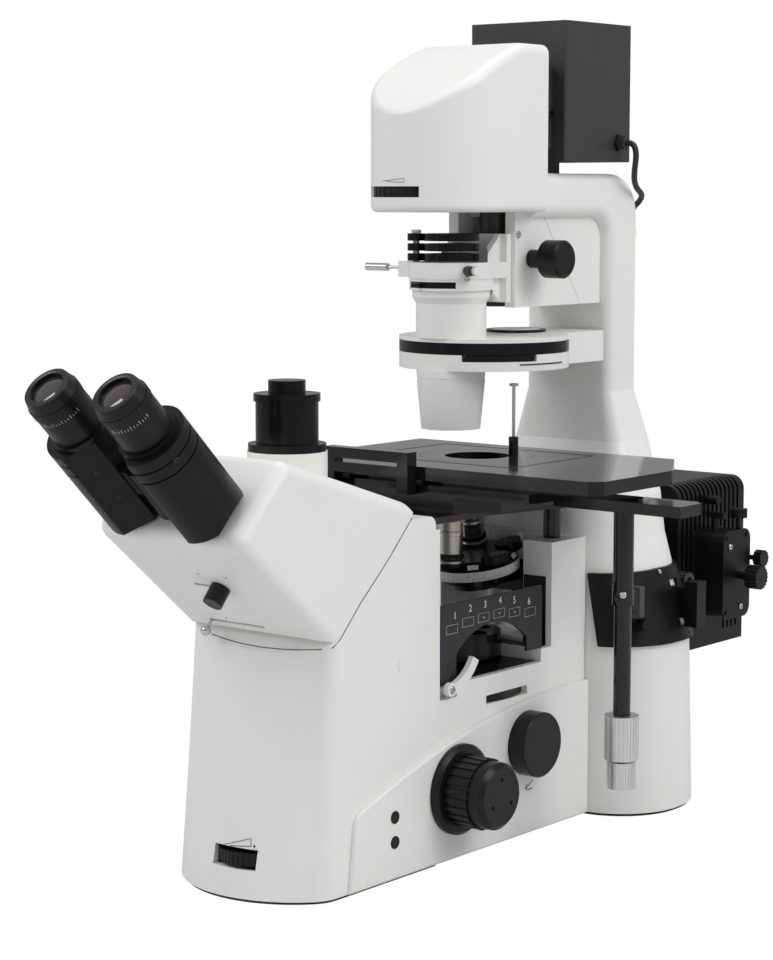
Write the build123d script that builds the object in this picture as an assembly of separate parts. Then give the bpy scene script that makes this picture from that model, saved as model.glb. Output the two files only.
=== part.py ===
from build123d import *
import math
import os

# Inverted laboratory microscope with a mechanical stage, a transmitted-light
# pillar over the stage and a reflected-light lamp behind the column.
# Frame: +X to the user's right, +Y away from the user, +Z up.
# Origin: on the optical axis, at the height of the table. Lengths in millimetres.

# General fits and margins
fit_gap = 0.3
running_gap = 0.05
cut_over = 40.0
rib_shares = ((0.0, 0.0), (0.5, 0.0), (0.56, 1.0), (0.94, 1.0))

# Feet and base plate
foot_r = 14.0
foot_h = 3.0
foot_inset = 24.0
plate_t = 3.0
plate_inset = 3.0

# Main frame: front tower, low sill under the nosepiece, rear shelf
body_half_w = 80.0
body_flare = 3.0
body_foot_half_w = body_half_w + body_flare
body_low_z = foot_h + plate_t
tower_foot_front = 313.0
tower_foot_side = 270.0
tower_foot_corner_r = 30.0
tower_neck_z = 214.0
tower_neck_front = 270.0
tower_neck_side = 259.0
tower_neck_corner_r = 12.0
tower_top_z = 311.0
tower_back_y = -124.0
tower_top_r = 9.0
window_front_y = -118.0
window_notch_z = 298.0
sill_z = 160.0
sill_step_z = 172.0
sill_step_y = 32.0
window_back_y = 48.0
window_low_z = 148.0
window_low_w = 24.0
shelf_z = 268.0
column_front_y = 102.0
rear_port_half_w = 48.0
rear_port_r = 50.0
rear_port_y = 28.0
rear_port_low_z = 176.0
rear_port_top_z = 270.0
rear_port_depth = 44.0

# Seam plane between the tower and the binocular head
seam_low_y = -257.0
seam_low_z = 219.7
seam_high_y = -154.0
seam_high_z = 316.6

# Binocular head housing, outline seen from the side
head_chin_y = -267.8
head_chin_z = 222.1
head_crest_y = -315.35
head_crest_z = 374.77
head_face_len = 86.0
tube_angle = 45.0
head_nose_y = head_crest_y - head_face_len * math.cos(math.radians(tube_angle))
head_nose_z = head_crest_z - head_face_len * math.sin(math.radians(tube_angle))
head_back_y = -161.0
head_back_z = 326.0
head_half_w = body_half_w
head_edge_r = 12.0
head_corner_r = 10.0

# Camera port on the head
port_y = -225.0
port_collar_r = 34.0
port_collar_low_z = 330.0
port_collar_top_z = 370.0
port_flange_r = 33.0
port_flange_h = 6.5
port_tube_r = 26.5
port_tube_h = 35.5
port_rim_r = 28.2
port_rim_h = 6.5
port_cap_r = 15.8
port_cap_h = 11.0

# Side plates that carry the focus and selector knobs
side_plate_proud = 6.0
side_plate_out_x = body_half_w + side_plate_proud
side_plate_front_y = -246.0
side_plate_front_top_y = -239.0
side_plate_front_top_z = 60.0
side_plate_shoulder_y = -222.0
side_plate_shoulder_z = 76.0
side_plate_arc_y = -80.0
side_plate_arc_z = 117.0
side_plate_back_z = 133.0
side_plate_edge = 1.6

# Coaxial focus drive
focus_y = -99.0
focus_z = 68.0
tension_r = 40.0
tension_t = 7.4
tension_cone = 3.0
coarse_r = 31.5
coarse_t = 24.0
coarse_ribs = 24
coarse_rib_depth = 1.2
fine_r = 29.5
fine_t = 15.0
fine_edge = 4.0
fine_hole_r = 2.0
fine_hole_depth = 1.0
fine_hole_ring_r = 15.0
coarse_shaft_r = 9.0
fine_shaft_r = 5.0

# Light-path selector knob
selector_y = 3.0
selector_z = 91.0
selector_r = 29.5
selector_t = 17.4
selector_edge = 1.2
selector_shaft_r = 6.0
selector_shaft_in = 22.0

# Two lamp buttons on the right side plate
button_y = -187.0
button_low_z = 38.6
button_high_z = 60.3
button_r = 5.5
button_travel = 2.0
button_proud = 0.6
button_len = 7.0

# Front brightness wheel
dial_x = 10.0
dial_z = 38.0
dial_r = 30.0
dial_h = 11.0
dial_proud = 3.0
dial_slot_h = 17.0
dial_slot_half_w = 22.0
dial_ribs = 40
dial_rib_depth = 0.6
dial_pin_r = 4.0

# Magnification wheel in the right side
changer_z = 138.0
changer_h = 8.0
changer_y = -20.0
changer_r = 74.0
changer_proud = 2.0
changer_slot_half_l = 31.0
changer_pin_r = 5.0

# Blind plug over a service hole in the tower
plug_y = -170.0
plug_z = 188.0
plug_r = 6.5
plug_t = 1.0

# Slide knobs in the front face of the head, places along the face from the chin
slot_upper_along = 69.0
slot_upper_half_l = 19.0
slot_upper_x = 1.0
slot_lower_along = 9.0
slot_lower_half_l = 31.0
slot_lower_x = -13.0
slot_h = 3.4
slot_depth = 16.0
slide_knob_x = 12.0
slide_knob_r = 8.5
slide_knob_len = 16.0
slide_knob_stem_r = 1.3
pin_ball_x = -42.0
pin_ball_r = 4.6
pin_stem_r = 1.3
pin_stem_len = 11.0

# Binocular tubes: both prism housings swing on one pin
eye_offset = 37.5
pivot_along = 25.4
housing_len = 94.0
housing_start = 3.0
housing_r = 31.0
housing_flat = 13.6
housing_bevel = 15.0
housing_cap_len = 22.0
housing_groove_w = 1.6
housing_groove_d = 1.0
wedge_angle = 41.3
pivot_pin_r = 6.0
knuckle_r = 12.8
knuckle_web = 10.6
knuckle_len = 27.0
knuckle_low_start = 5.0
knuckle_gap = 0.6
pivot_pin_len = 63.0
eye_flange_r = 25.0
eye_flange_h = 4.0
eye_barrel_r = 22.0
eye_barrel_len = 46.0
dioptre_r = 22.6
dioptre_len = 8.0
dioptre_in_r = 20.0
dioptre_from_top = 9.0
dioptre_ribs = 36
dioptre_rib_depth = 0.4
eye_rim_taper = 2.2
lens_r = 14.7
lens_sink = 4.0

# Nosepiece on its focusing carrier
nose_tilt = 10.0
nose_r = 41.0
nose_low_r = 33.0
nose_h = 24.0
nose_lower_h = 12.0
station_r = 35.0
station_count = 5
objective_seat_z = 248.0
objective_r = 11.5
objective_body_h = 52.0
objective_short_h = 42.0
objective_tip_r = 7.0
objective_tip_h = 18.0
objective_seat_r = 13.0
objective_seat_h = 4.0
capped_station_shares = (1, 2, 4)
cap_r = 12.5
cap_h = 4.0
scale_ring_r = 42.2
scale_ring_h = 9.0
scale_ring_drop = 8.0
carrier_r = 24.0
carrier_h = 7.0
carrier_gap = 0.4
carrier_arm_half_w = 17.0
carrier_arm_t = 6.0
carrier_arm_y = 46.0
carrier_arm_z = 223.0
slide_block_half_w = 26.0
slide_block_t = 13.0
slide_block_h = 30.0
slide_block_z = 213.0
guide_pin_r = 4.0
guide_pin_x = 16.0

# Filter turret below the nosepiece, with its numbered cover plate
turret_y = -2.0
turret_r = 48.0
turret_low_z = 164.0
turret_h = 22.0
turret_hub_r = 9.0
turret_cell_r = 10.0
turret_cell_ring_r = 32.0
turret_cells = 6
number_plate_inset = 6.0
number_plate_x = body_half_w - number_plate_inset
number_plate_t = 2.5
number_plate_front_y = -112.0
number_plate_back_y = 38.0
number_plate_top_z = 230.0
number_arch_front_y = -90.0
number_arch_back_y = 15.0
number_arch_z = 185.0
number_arch_rise = 21.0
lever_y = -107.0
lever_z = 157.0
lever_boss_r = 6.0
lever_len = 34.0
lever_w = 9.0
lever_t = 5.0
lever_pin_r = 2.0

# Rear column, taken as rounded outlines at named heights
column_back_y = 246.0
column_foot_half_w = 140.0
column_waist_z = 165.0
column_waist_half_w = 134.0
column_neck_z = 262.0
column_neck_half_w = 101.0
column_top_z = 300.0
column_top_half_w = 94.0
column_foot_r = 68.0
column_waist_r = 66.0
column_neck_r = 58.0
column_top_r = 54.0
ankle_z = 314.0
ankle_half_w = 77.0
ankle_front_y = 168.0
ankle_back_y = 243.0
ankle_r = 24.0
shin_z = 348.0
shin_half_w = 64.0
shin_front_y = 179.0
shin_back_y = 242.0
shin_r = 16.0
pillar_z = 396.0
pillar_half_w = 50.0
pillar_front_y = 183.0
pillar_back_y = 233.0
pillar_r = 11.0
arm_low_z = 563.0
arm_top_z = 603.0
arm_inner_r = 20.0
arm_outer_r = 38.0

# Black filter collar round the right of the column
collar_low_z = 165.0
collar_top_z = 232.5
collar_proud = 4.0
collar_left_low_x = 94.0
collar_left_top_x = 80.0
slider_a_y = 121.0
slider_b_y = 194.0
slider_t = 8.0
slider_h = 29.0
slider_z = 208.5
slider_b_z = 199.0
slider_in_x = 58.0
slider_a_out_x = 131.0
slider_b_out_x = 150.0
slider_grip_t = 16.0
slider_grip_h = 43.0
slider_grip_len = 14.0
slider_travel = 25.0
slider_hole_r = 3.0
iris_knob_r = 6.0
iris_knob_len = 15.0
iris_knob_angle = -31.0
iris_knob_z = 187.0
iris_knob_at_x = 121.0
iris_knob_at_y = 132.0
iris_stem_r = 3.0
iris_stem_in = 16.0

# Reflected-light lamp house behind the column
rl_front_y = 278.0
rl_back_y = 403.0
rl_half_w = 70.0
rl_low_z = 129.0
rl_top_z = 297.0
rl_edge_r = 14.0
rl_fin_pitch = 8.0
rl_fin_gap = 3.6
rl_fin_depth = 7.0
rl_neck_half_w = 56.0
rl_neck_low_z = 160.0
rl_neck_top_z = 258.0
clamp_knob_y = 258.0
clamp_knob_z = 207.0
clamp_knob_r = 9.5
clamp_knob_len = 40.0
clamp_knob_bore_r = 5.0
clamp_knob_bore = 8.0
clamp_ribs = 14
clamp_rib_depth = 0.9
clamp_stud_r = 3.0
clamp_stud_in = 14.0
socket_y = 336.0
socket_z = 206.0
socket_half_l = 24.0
socket_half_h = 43.0
socket_out = 30.0
socket_r = 11.0
socket_plate_t = 3.0
socket_plate_over = 1.5
socket_plate_screw_r = 2.2
socket_plate_screw_h = 1.2
thumb_r = 8.5
thumb_len = 9.0
thumb_stem_r = 2.5
thumb_stem_len = 12.0
thumb_ribs = 12
thumb_rib_depth = 0.7
thumb_side_y = 373.0
thumb_side_z = 218.0
thumb_side_stem_len = 34.0
thumb_top_x = 96.0
thumb_top_y = 350.0
thumb_stem_in = 8.0
lamp_screw_head_r = 4.5
lamp_screw_head_y = 331.0
lamp_screw_head_z = 279.0
lamp_screw_head_len = 14.0
lamp_lever_x = 84.0
lamp_lever_y = 326.0
lamp_lever_r = 3.4
lamp_lever_post = 13.0
lamp_lever_len = 22.0
lamp_lever_w = 6.0
lamp_lever_t = 6.0
collector_knob_y = 341.0
collector_knob_z = 204.0
collector_knob_r = 12.0
collector_knob_t = 14.0
collector_shaft_r = 4.0
collector_shaft_out = 12.0
collector_shaft_in = 12.0
collector_ribs = 18
collector_rib_depth = 0.9

# Fixed stage base and the two moving stage plates
base_stage_low_z = 298.0
base_stage_t = 6.0
base_stage_front_half_w = 58.0
base_stage_taper_y = -20.0
base_stage_wide_y = 70.0
base_stage_front_y = -123.7
base_stage_back_y = 100.0
base_stage_inset = 1.0
base_stage_half_w = body_half_w - base_stage_inset
rail_frame_low_z = 306.0
rail_frame_t = 13.7
rail_frame_front_y = -76.0
rail_frame_back_y = 98.0
rail_frame_half_w = 92.0
rail_frame_corner = 30.0
stage_bore_r = 57.0
stage_bore_y = 28.0
stage_post_r = 8.0
stage_post_inset = 12.0
shelf_post_y = 76.0
shelf_post_inset = 20.0
shelf_post_x = body_half_w - shelf_post_inset
y_plate_low_z = 320.0
y_plate_t = 9.0
y_plate_left_x = -112.0
y_plate_right_x = 143.0
y_plate_front_y = -76.0
y_plate_back_y = 112.0
y_rail_h = 3.7
y_rail_w = 8.0
y_rail_inset = 10.0
top_plate_low_z = 333.0
top_plate_t = 12.0
top_plate_left_x = -127.0
top_plate_right_x = 215.0
top_plate_front_y = -78.0
top_plate_back_y = 116.0
top_plate_right_back_y = 36.0
top_plate_cut_x = 167.0
top_plate_chamfer = 10.0
insert_left_x = -77.0
insert_right_x = 95.0
insert_front_y = -36.0
insert_back_y = 92.0
insert_t = 4.0
insert_gap = 0.3
insert_ledge = 6.0
insert_corner_r = 5.0
disc_x = 9.5
disc_r = 53.0
disc_hole_r = 30.0
disc_groove_w = 0.6
disc_groove_d = 0.5

# Specimen pin on the stage
pin_x = 33.0
pin_y = 52.0
pin_r = 1.4
pin_top_z = 411.0
pin_cap_r = 4.0
pin_cap_t = 2.0
pin_bush_r = 4.5
pin_bush_h = 17.0

# Slotted guide frame at the front of the stage
guide_right_x = 22.0
guide_left_x = -75.0
guide_t = 13.0
guide_low_z = 320.4
guide_top_z = 358.0
guide_leg_w = 12.0
guide_bar_h = 9.7
guide_slot_h = 3.3
guide_second_h = 9.0

# Drive arm, rod and coaxial stage knobs
drive_arm_left_x = 118.0
drive_arm_right_x = 250.0
drive_arm_front_y = -4.0
drive_arm_back_y = 36.0
drive_arm_t = 10.0
drive_arm_chamfer = 8.0
drive_x = 180.0
drive_y = 15.0
drive_sleeve_r = 9.0
drive_sleeve_low_z = 239.0
drive_clamp_r = 9.6
drive_clamp_low_z = 226.0
drive_tube_r = 7.7
drive_tube_low_z = 128.0
drive_core_r = 4.0
drive_screw_r = 2.4
drive_screw_h = 1.2
y_knob_r = 15.5
y_knob_low_z = 88.0
y_knob_top_z = 127.5
y_knob_band = 6.0
x_knob_r = 13.0
x_knob_low_z = 62.0
x_knob_top_z = 86.0
stage_knob_ribs = 30
stage_knob_rib_depth = 0.6

# Condenser focus block on the pillar, and the guide inside its channel
block_half_w = 38.0
block_front_y = 45.5
block_low_z = 481.0
block_channel_half_w = 27.0
block_channel_back_y = 104.0
guide_y = 68.0
guide_r = 15.5
guide_nut_r = 19.0
guide_nut_h = 8.0
guide_web_h = 5.0
sleeve_t = 4.5
sleeve_low_z = 503.0
sleeve_top_z = 531.0
condenser_knob_y = 71.0
condenser_knob_z = 525.0
condenser_neck_r = 8.5
condenser_neck_len = 18.0
condenser_knob_r = 17.4
condenser_knob_t = 20.0
condenser_knob_edge = 2.0
condenser_shaft_r = 4.0
condenser_shaft_in = 9.0

# Condenser carrier: plate, gussets and ring clamp
plate_half_w = 34.0
plate_low_z = 486.0
plate_top_z = 548.0
carrier_plate_t = 7.0
carrier_plate_gap = 0.3
gusset_t = 6.0
gusset_x = 24.0
gusset_reach = 27.0
ring_low_z = 508.5
ring_top_z = 523.0
ring_r = 39.0
ring_bore_r = 33.0
ring_lug_x = 56.0
ring_lug_half_w = 7.0
centre_lever_z = 517.0
centre_rod_r = 1.4
centre_rod_len = 18.0
centre_grip_r = 3.6
centre_grip_len = 25.0
centre_screw_r = 4.5
centre_screw_len = 17.0
centre_screw_angle = -26.0
centre_screw_z = 516.0
centre_screw_ribs = 16
centre_screw_rib_depth = 0.5
iris_low_z = 500.4
iris_top_z = 505.6
iris_band_r = 38.0
iris_in_r = 33.0
iris_skin = 1.0
iris_slot_start = -150.0
iris_slot_end = -46.0
iris_tab_r = 3.6
iris_tab_len = 7.0
iris_tab_angle = -101.0

# Swing-out filter holders above the condenser
holder_count = 3
holder_low_z = 524.0
holder_pitch = 9.0
holder_t = 6.6
holder_r = 25.3
holder_bore_r = 22.0
holder_lip_r = 20.5
holder_lip_t = 1.5
holder_pivot_x = -31.0
holder_pivot_y = -12.0
holder_lug_r = 8.0
holder_pin_r = 3.0
holder_pin_head_r = 4.5
holder_pin_head_h = 3.0
holder_tab_r = 4.2
holder_tab_angle = -74.0

# Condenser barrel, phase turret and long-distance front lens
barrel_r = 35.3
barrel_low_r = 32.0
barrel_shoulder_z = 492.0
barrel_neck_z = 486.0
barrel_bore_r = 24.0
barrel_collar_h = 6.0
housing_top_z = 455.0
housing_low_z = 426.0
wheel_top_z = 451.0
wheel_low_z = 441.0
wheel_axis_y = 50.0
wheel_r = 78.5
wheel_gap = 0.4
wheel_hub_r = 8.0
wheel_cell_r = 15.0
wheel_cells = 6
wheel_notch_start = -68.0
wheel_notch_end = -16.0
wheel_notch_h = 6.0
wheel_notch_w = 10.0
housing_box_half_w = 45.0
housing_box_back_y = 180.0
port_disc_r = 28.0
port_disc_y = 100.0
port_disc_t = 3.0
cone_neck_r = 30.4
cone_neck_z = 419.0
cone_top_r = 31.2
cone_top_z = 417.0
cone_low_r = 27.0
cone_low_z = 372.0
cone_bore_r = 20.0
cone_lens_z = 380.0
cone_lens_t = 4.0

# Transmitted-light head over the condenser
shell_half_w = 60.0
shell_nose_y = -20.0
shell_back_y = 65.0
shell_low_z = 568.0
shell_top_z = 718.0
shell_slope_back_y = 30.0
shell_slope_nose_z = 656.0
shell_bulge = 8.0
shell_edge_r = 9.0
shell_low_edge_r = 6.0
shell_port_r = 24.0
shell_port_depth = 12.0
shell_dial_z = 586.0
shell_dial_h = 9.0
shell_dial_r = 48.0
shell_dial_recess = 0.5
shell_dial_angle = 255.0
shell_dial_span = 37.0
shell_window_depth = 8.0
shell_dial_ribs = 36
shell_dial_rib_depth = 0.6
shell_dial_pin_r = 4.0

# Transmitted-light lamp house
lamp_half_w = 54.5
lamp_front_y = 100.0
lamp_back_y = 208.0
lamp_low_z = 614.0
lamp_top_z = 742.0
lamp_edge_r = 3.0
lamp_neck_half_w = 40.0
lamp_neck_low_z = 626.0
lamp_neck_top_z = 700.0
lamp_foot_half_w = 20.0
lamp_foot_len = 40.0
lamp_screw_r = 4.5
lamp_screw_len = 6.0
lamp_screw_y = 72.0
lamp_screw_z = 655.0
gland_y = 188.0
gland_z = 632.0
gland_r = 6.0
gland_len = 9.0
cable_r = 2.8
cable_bend_share = 0.45
cable_out = 9.0
cable_end_x = 33.0
cable_end_y = 240.6
cable_end_z = 555.5
cable_out_shares = (0.567, 0.978, 1.011, 0.444, -0.111, -0.544, -0.833, -1.278, -2.056, -2.922, -3.311)
cable_back_shares = (0.0, 0.017, 0.061, 0.152, 0.285, 0.475, 0.675, 0.865, 0.979, 0.996, 1.0)
cable_drop_shares = (-0.0, 0.047, 0.149, 0.333, 0.458, 0.549, 0.601, 0.647, 0.719, 0.797, 0.889)
inlet_r = 5.0
inlet_neck_r = 4.2
inlet_neck_h = 8.0



def box(x0, x1, y0, y1, z0, z1):
    """A box between named planes."""
    centre = ((x0 + x1) / 2, (y0 + y1) / 2, (z0 + z1) / 2)
    return Pos(*centre) * Box(x1 - x0, y1 - y0, z1 - z0)


def rod(origin, direction, radius, length):
    """A cylinder that starts at a point and runs along a direction."""
    where = Plane(origin=origin, z_dir=direction)
    align = (Align.CENTER, Align.CENTER, Align.MIN)
    return where * Cylinder(radius, length, align=align)


def turned(profile):
    """A solid of revolution about Z from (radius, height) points."""
    outline = Plane.XZ * make_face(Polyline(*profile, close=True))
    return revolve(outline, Axis.Z)


def ribbed(radius, depth, count, height):
    """A knurled grip: a cylinder with straight ribs, standing on its base."""
    points = []
    for step in range(count):
        for turn_share, depth_share in rib_shares:
            reach = radius - depth * depth_share
            angle = (step + turn_share) * 2 * math.pi / count
            points.append((reach * math.cos(angle), reach * math.sin(angle)))
    return extrude(make_face(Polyline(*points, close=True)), height)


def standing(solid, origin, direction):
    """Stand a solid that was drawn on the XY plane on a point, along a direction."""
    return Plane(origin=origin, z_dir=direction) * solid


def slab(points, z0, z1):
    """A flat plate from a plan outline."""
    return extrude(Pos(0, 0, z0) * make_face(Polyline(*points, close=True)), z1 - z0)


def side_slab(points, x0, x1):
    """A plate from a (y, z) outline that runs from x0 to x1."""
    outline = Plane.YZ * make_face(Polyline(*points, close=True))
    return extrude(Pos(x0, 0, 0) * outline, x1 - x0, dir=(1, 0, 0))


def rounded_outline(half_w, y0, y1, radius, z):
    """A rounded rectangle in plan at height z, centred on x = 0."""
    sketch = RectangleRounded(2 * half_w, y1 - y0, radius)
    return Pos(0, (y0 + y1) / 2, z) * sketch


def mirrored(solid):
    """The same shape on the other side of the instrument."""
    return mirror(solid, about=Plane.YZ)


def tower_outline(half_w, side_y, front_y, corner_r, z):
    """Plan of the tower: straight sides, a bowed front and round corners."""
    back = Line((half_w, tower_back_y), (-half_w, tower_back_y))
    left = Line((-half_w, tower_back_y), (-half_w, -side_y))
    front = ThreePointArc((-half_w, -side_y), (0, -front_y), (half_w, -side_y))
    right = Line((half_w, -side_y), (half_w, tower_back_y))
    outline = make_face([back, left, front, right])
    corners = [v for v in outline.vertices() if abs(v.Y + side_y) < corner_r]
    return Pos(0, 0, z) * fillet(corners, corner_r)


def seam_direction():
    """Unit direction up the seam between the tower and the head, as (y, z)."""
    run = seam_high_y - seam_low_y
    rise = seam_high_z - seam_low_z
    length = math.hypot(run, rise)
    return run / length, rise / length


def above_seam(lift):
    """A large block that fills the space above the seam plane, lifted off it."""
    run, rise = seam_direction()
    normal = Vector(0, -rise, run)
    start = Vector(0, seam_low_y, seam_low_z) + normal * lift
    size = 2 * (tower_top_z + tower_foot_front)
    align = (Align.CENTER, Align.CENTER, Align.MIN)
    return Plane(origin=start, x_dir=(1, 0, 0), z_dir=normal) * Box(size, size, size, align=align)


def dial_centre_y():
    """Place of the brightness wheel's axis, behind the bowed front face."""
    share = (dial_z - body_low_z) / (tower_neck_z - body_low_z)
    face_y = tower_foot_front + (tower_neck_front - tower_foot_front) * share
    return -face_y + dial_r - dial_proud


def side_plate():
    """Raised plate that carries the knobs, with a sloping top edge."""
    low = (side_plate_front_y, body_low_z)
    front = (side_plate_front_top_y, side_plate_front_top_z)
    shoulder = (side_plate_shoulder_y, side_plate_shoulder_z)
    crown = (side_plate_arc_y, side_plate_arc_z)
    back = (column_front_y, side_plate_back_z)
    end = (column_front_y, body_low_z)
    rise = Line(low, front)
    turn = TangentArc([front, shoulder], tangent=(rise % 1))
    top = ThreePointArc(shoulder, crown, back)
    outline = make_face([rise, turn, top, Line(back, end), Line(end, low)])
    plate = extrude(Plane.YZ * outline, side_plate_out_x, dir=(1, 0, 0))
    return chamfer(plate.faces().sort_by(Axis.X)[-1].edges(), side_plate_edge)


def make_main_frame():
    """One casting: the front tower, the sill and the rear shelf."""
    foot = tower_outline(body_foot_half_w, tower_foot_side, tower_foot_front, tower_foot_corner_r, body_low_z)
    neck = tower_outline(body_half_w, tower_neck_side, tower_neck_front, tower_neck_corner_r, tower_neck_z)
    tower = loft([foot, neck], ruled=True)
    tower += extrude(neck, tower_top_z - tower_neck_z)
    tower -= above_seam(0)
    top_edges = tower.edges().filter_by(Axis.X).group_by(Axis.Z)[-1].sort_by(Axis.Y)[-1:]
    tower = fillet(top_edges, tower_top_r)
    sill = box(-body_half_w, body_half_w, tower_back_y, column_front_y, body_low_z, sill_step_z)
    shelf = box(-body_half_w, body_half_w, window_back_y, column_front_y, sill_step_z, shelf_z)
    foot_post = box(-body_half_w, body_half_w, tower_back_y, window_front_y, sill_step_z, window_notch_z)
    frame = tower + sill + shelf + foot_post
    frame += side_plate() + mirrored(side_plate())
    frame -= box(-cut_over - body_half_w, body_half_w + cut_over, window_front_y, sill_step_y, sill_z,
                 sill_step_z + cut_over)
    low_back_y = window_front_y + window_low_w
    frame -= box(number_plate_x - lever_t, body_half_w + cut_over, window_front_y, low_back_y,
                 window_low_z, sill_z + cut_over)
    frame -= box(-rear_port_half_w, rear_port_half_w, window_back_y - cut_over,
                 window_back_y + rear_port_depth, rear_port_low_z, rear_port_top_z)
    frame -= box(dial_x - dial_slot_half_w, dial_x + dial_slot_half_w, -tower_foot_front - cut_over,
                 dial_centre_y() + dial_r + fit_gap, dial_z - dial_slot_h / 2, dial_z + dial_slot_h / 2)
    frame -= rod((dial_x, dial_centre_y(), dial_z - dial_slot_h / 2), (0, 0, 1), dial_r + fit_gap, dial_slot_h)
    frame += rod((dial_x, dial_centre_y(), dial_z - dial_slot_h / 2), (0, 0, 1), dial_pin_r, dial_slot_h)
    frame -= rod((0, turret_y, sill_z), (0, 0, 1), turret_r + 2 * fit_gap, turret_h)
    frame += rod((0, turret_y, sill_z), (0, 0, 1), turret_hub_r, turret_low_z - sill_z + turret_h)
    frame -= rod((0, rear_port_y, rear_port_low_z), (0, 0, 1), rear_port_r, shelf_z - rear_port_low_z)
    pin_y = window_back_y + rear_port_depth - fit_gap - slide_block_t / 2
    for side in (-1, 1):
        frame += rod((side * guide_pin_x, pin_y, rear_port_low_z), (0, 0, 1), guide_pin_r,
                     shelf_z - rear_port_low_z)
    pin_len = body_half_w + fit_gap + lever_t - number_plate_x + lever_t
    frame += rod((number_plate_x - lever_t, lever_y, lever_z), (1, 0, 0), lever_pin_r, pin_len)
    frame -= box(changer_cut_x(), body_half_w + cut_over, changer_y - changer_slot_half_l,
                 changer_y + changer_slot_half_l, changer_z - changer_h / 2, changer_z + changer_h / 2)
    changer_x = body_half_w + changer_proud - changer_r
    frame -= rod((changer_x, changer_y, changer_z - changer_h / 2), (0, 0, 1), changer_r - changer_proud,
                 changer_h)
    frame += rod((changer_x, changer_y, changer_z - changer_h / 2), (0, 0, 1), changer_pin_r, changer_h)
    frame -= rod((-side_plate_out_x - cut_over, focus_y, focus_z), (1, 0, 0), coarse_shaft_r + running_gap,
                 2 * (side_plate_out_x + cut_over))
    frame -= rod((body_half_w - selector_shaft_in, selector_y, selector_z), (1, 0, 0),
                 selector_shaft_r + running_gap, cut_over + selector_shaft_in)
    frame += rod((body_half_w - plug_t, plug_y, plug_z), (1, 0, 0), plug_r, 2 * plug_t)
    for z in (button_low_z, button_high_z):
        frame -= rod((side_plate_out_x - button_len - 2 * button_travel, button_y, z), (1, 0, 0),
                     button_r + running_gap, cut_over)
    return frame


def changer_cut_x():
    """Inner plane of the short slot that lets the changer wheel's rim out."""
    return body_half_w + changer_proud - changer_r


def make_base_plate():
    """Steel sheet under the castings, with rubber feet."""
    tower = tower_outline(body_foot_half_w - plate_inset, tower_foot_side - plate_inset,
                          tower_foot_front - plate_inset, tower_foot_corner_r, foot_h)
    plate = extrude(tower, plate_t)
    middle = body_half_w - plate_inset
    plate += box(-middle, middle, tower_back_y, column_front_y + column_foot_r, foot_h, body_low_z)
    column = rounded_outline(column_foot_half_w - plate_inset, column_front_y + plate_inset,
                             column_back_y - plate_inset, column_foot_r - plate_inset, foot_h)
    plate += extrude(column, plate_t)
    front_x = body_foot_half_w - foot_inset
    rear_x = column_foot_half_w - 2 * foot_inset
    rear_y = (column_front_y + column_back_y) / 2
    for side in (-1, 1):
        plate += rod((side * front_x, -tower_foot_side + foot_inset, 0), (0, 0, 1), foot_r, foot_h)
        plate += rod((side * rear_x, rear_y, 0), (0, 0, 1), foot_r, foot_h)
    return plate


def face_direction():
    """Unit direction up the head's front face, as (y, z)."""
    run = head_nose_y - head_chin_y
    rise = head_nose_z - head_chin_z
    length = math.hypot(run, rise)
    return run / length, rise / length


def on_face(x, along):
    """A frame on the head's front face: x right, y up the face, z outwards."""
    run, rise = face_direction()
    origin = (x, head_chin_y + run * along, head_chin_z + rise * along)
    return Plane(origin=origin, x_dir=(1, 0, 0), z_dir=(0, -rise, run))


def at_pivot(along):
    """A frame on the tube pivot: z runs up the tubes, x is the user's right."""
    lean = math.radians(tube_angle)
    foot_y = head_nose_y + pivot_along * math.cos(lean)
    foot_z = head_nose_z + pivot_along * math.sin(lean)
    direction = Vector(0, -math.sin(lean), math.cos(lean))
    start = Vector(0, foot_y, foot_z) + direction * along
    return Plane(origin=start, x_dir=(1, 0, 0), z_dir=direction)


def make_head_housing():
    """Wedge-shaped head with its two slots, port collar and tube hinge pin."""
    outline = [(head_chin_y, head_chin_z), (head_nose_y, head_nose_z), (head_crest_y, head_crest_z),
               (head_back_y, head_back_z), (seam_high_y, seam_high_z), (seam_low_y, seam_low_z)]
    head = side_slab(outline, -head_half_w, head_half_w)
    across = head.edges().filter_by(Axis.X)
    nose = [e for e in across if abs(e.center().Y - head_nose_y) < plate_t]
    crest = [e for e in across if abs(e.center().Y - head_crest_y) < plate_t]
    head = fillet(nose + crest, head_corner_r)
    run, rise = seam_direction()
    sides = [e for e in head.edges() if abs(abs(e.center().X) - head_half_w) < running_gap]
    soft = []
    for edge in sides:
        drop = (edge.center().Z - seam_low_z) * run - (edge.center().Y - seam_low_y) * rise
        if drop > plate_t and edge.length > head_edge_r:
            soft.append(edge)
    head = fillet(soft, head_edge_r)
    head += rod((0, port_y, port_collar_low_z), (0, 0, 1), port_collar_r, port_collar_top_z - port_collar_low_z)
    for along, x, half_l in ((slot_upper_along, slot_upper_x, slot_upper_half_l),
                             (slot_lower_along, slot_lower_x, slot_lower_half_l)):
        head -= on_face(x, along) * Box(2 * half_l, slot_h, 2 * slot_depth)
    pin = at_pivot(-pivot_pin_r) * Cylinder(pivot_pin_r, pivot_pin_len + pivot_pin_r,
                                            align=(Align.CENTER, Align.CENTER, Align.MIN))
    return head + pin


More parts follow.
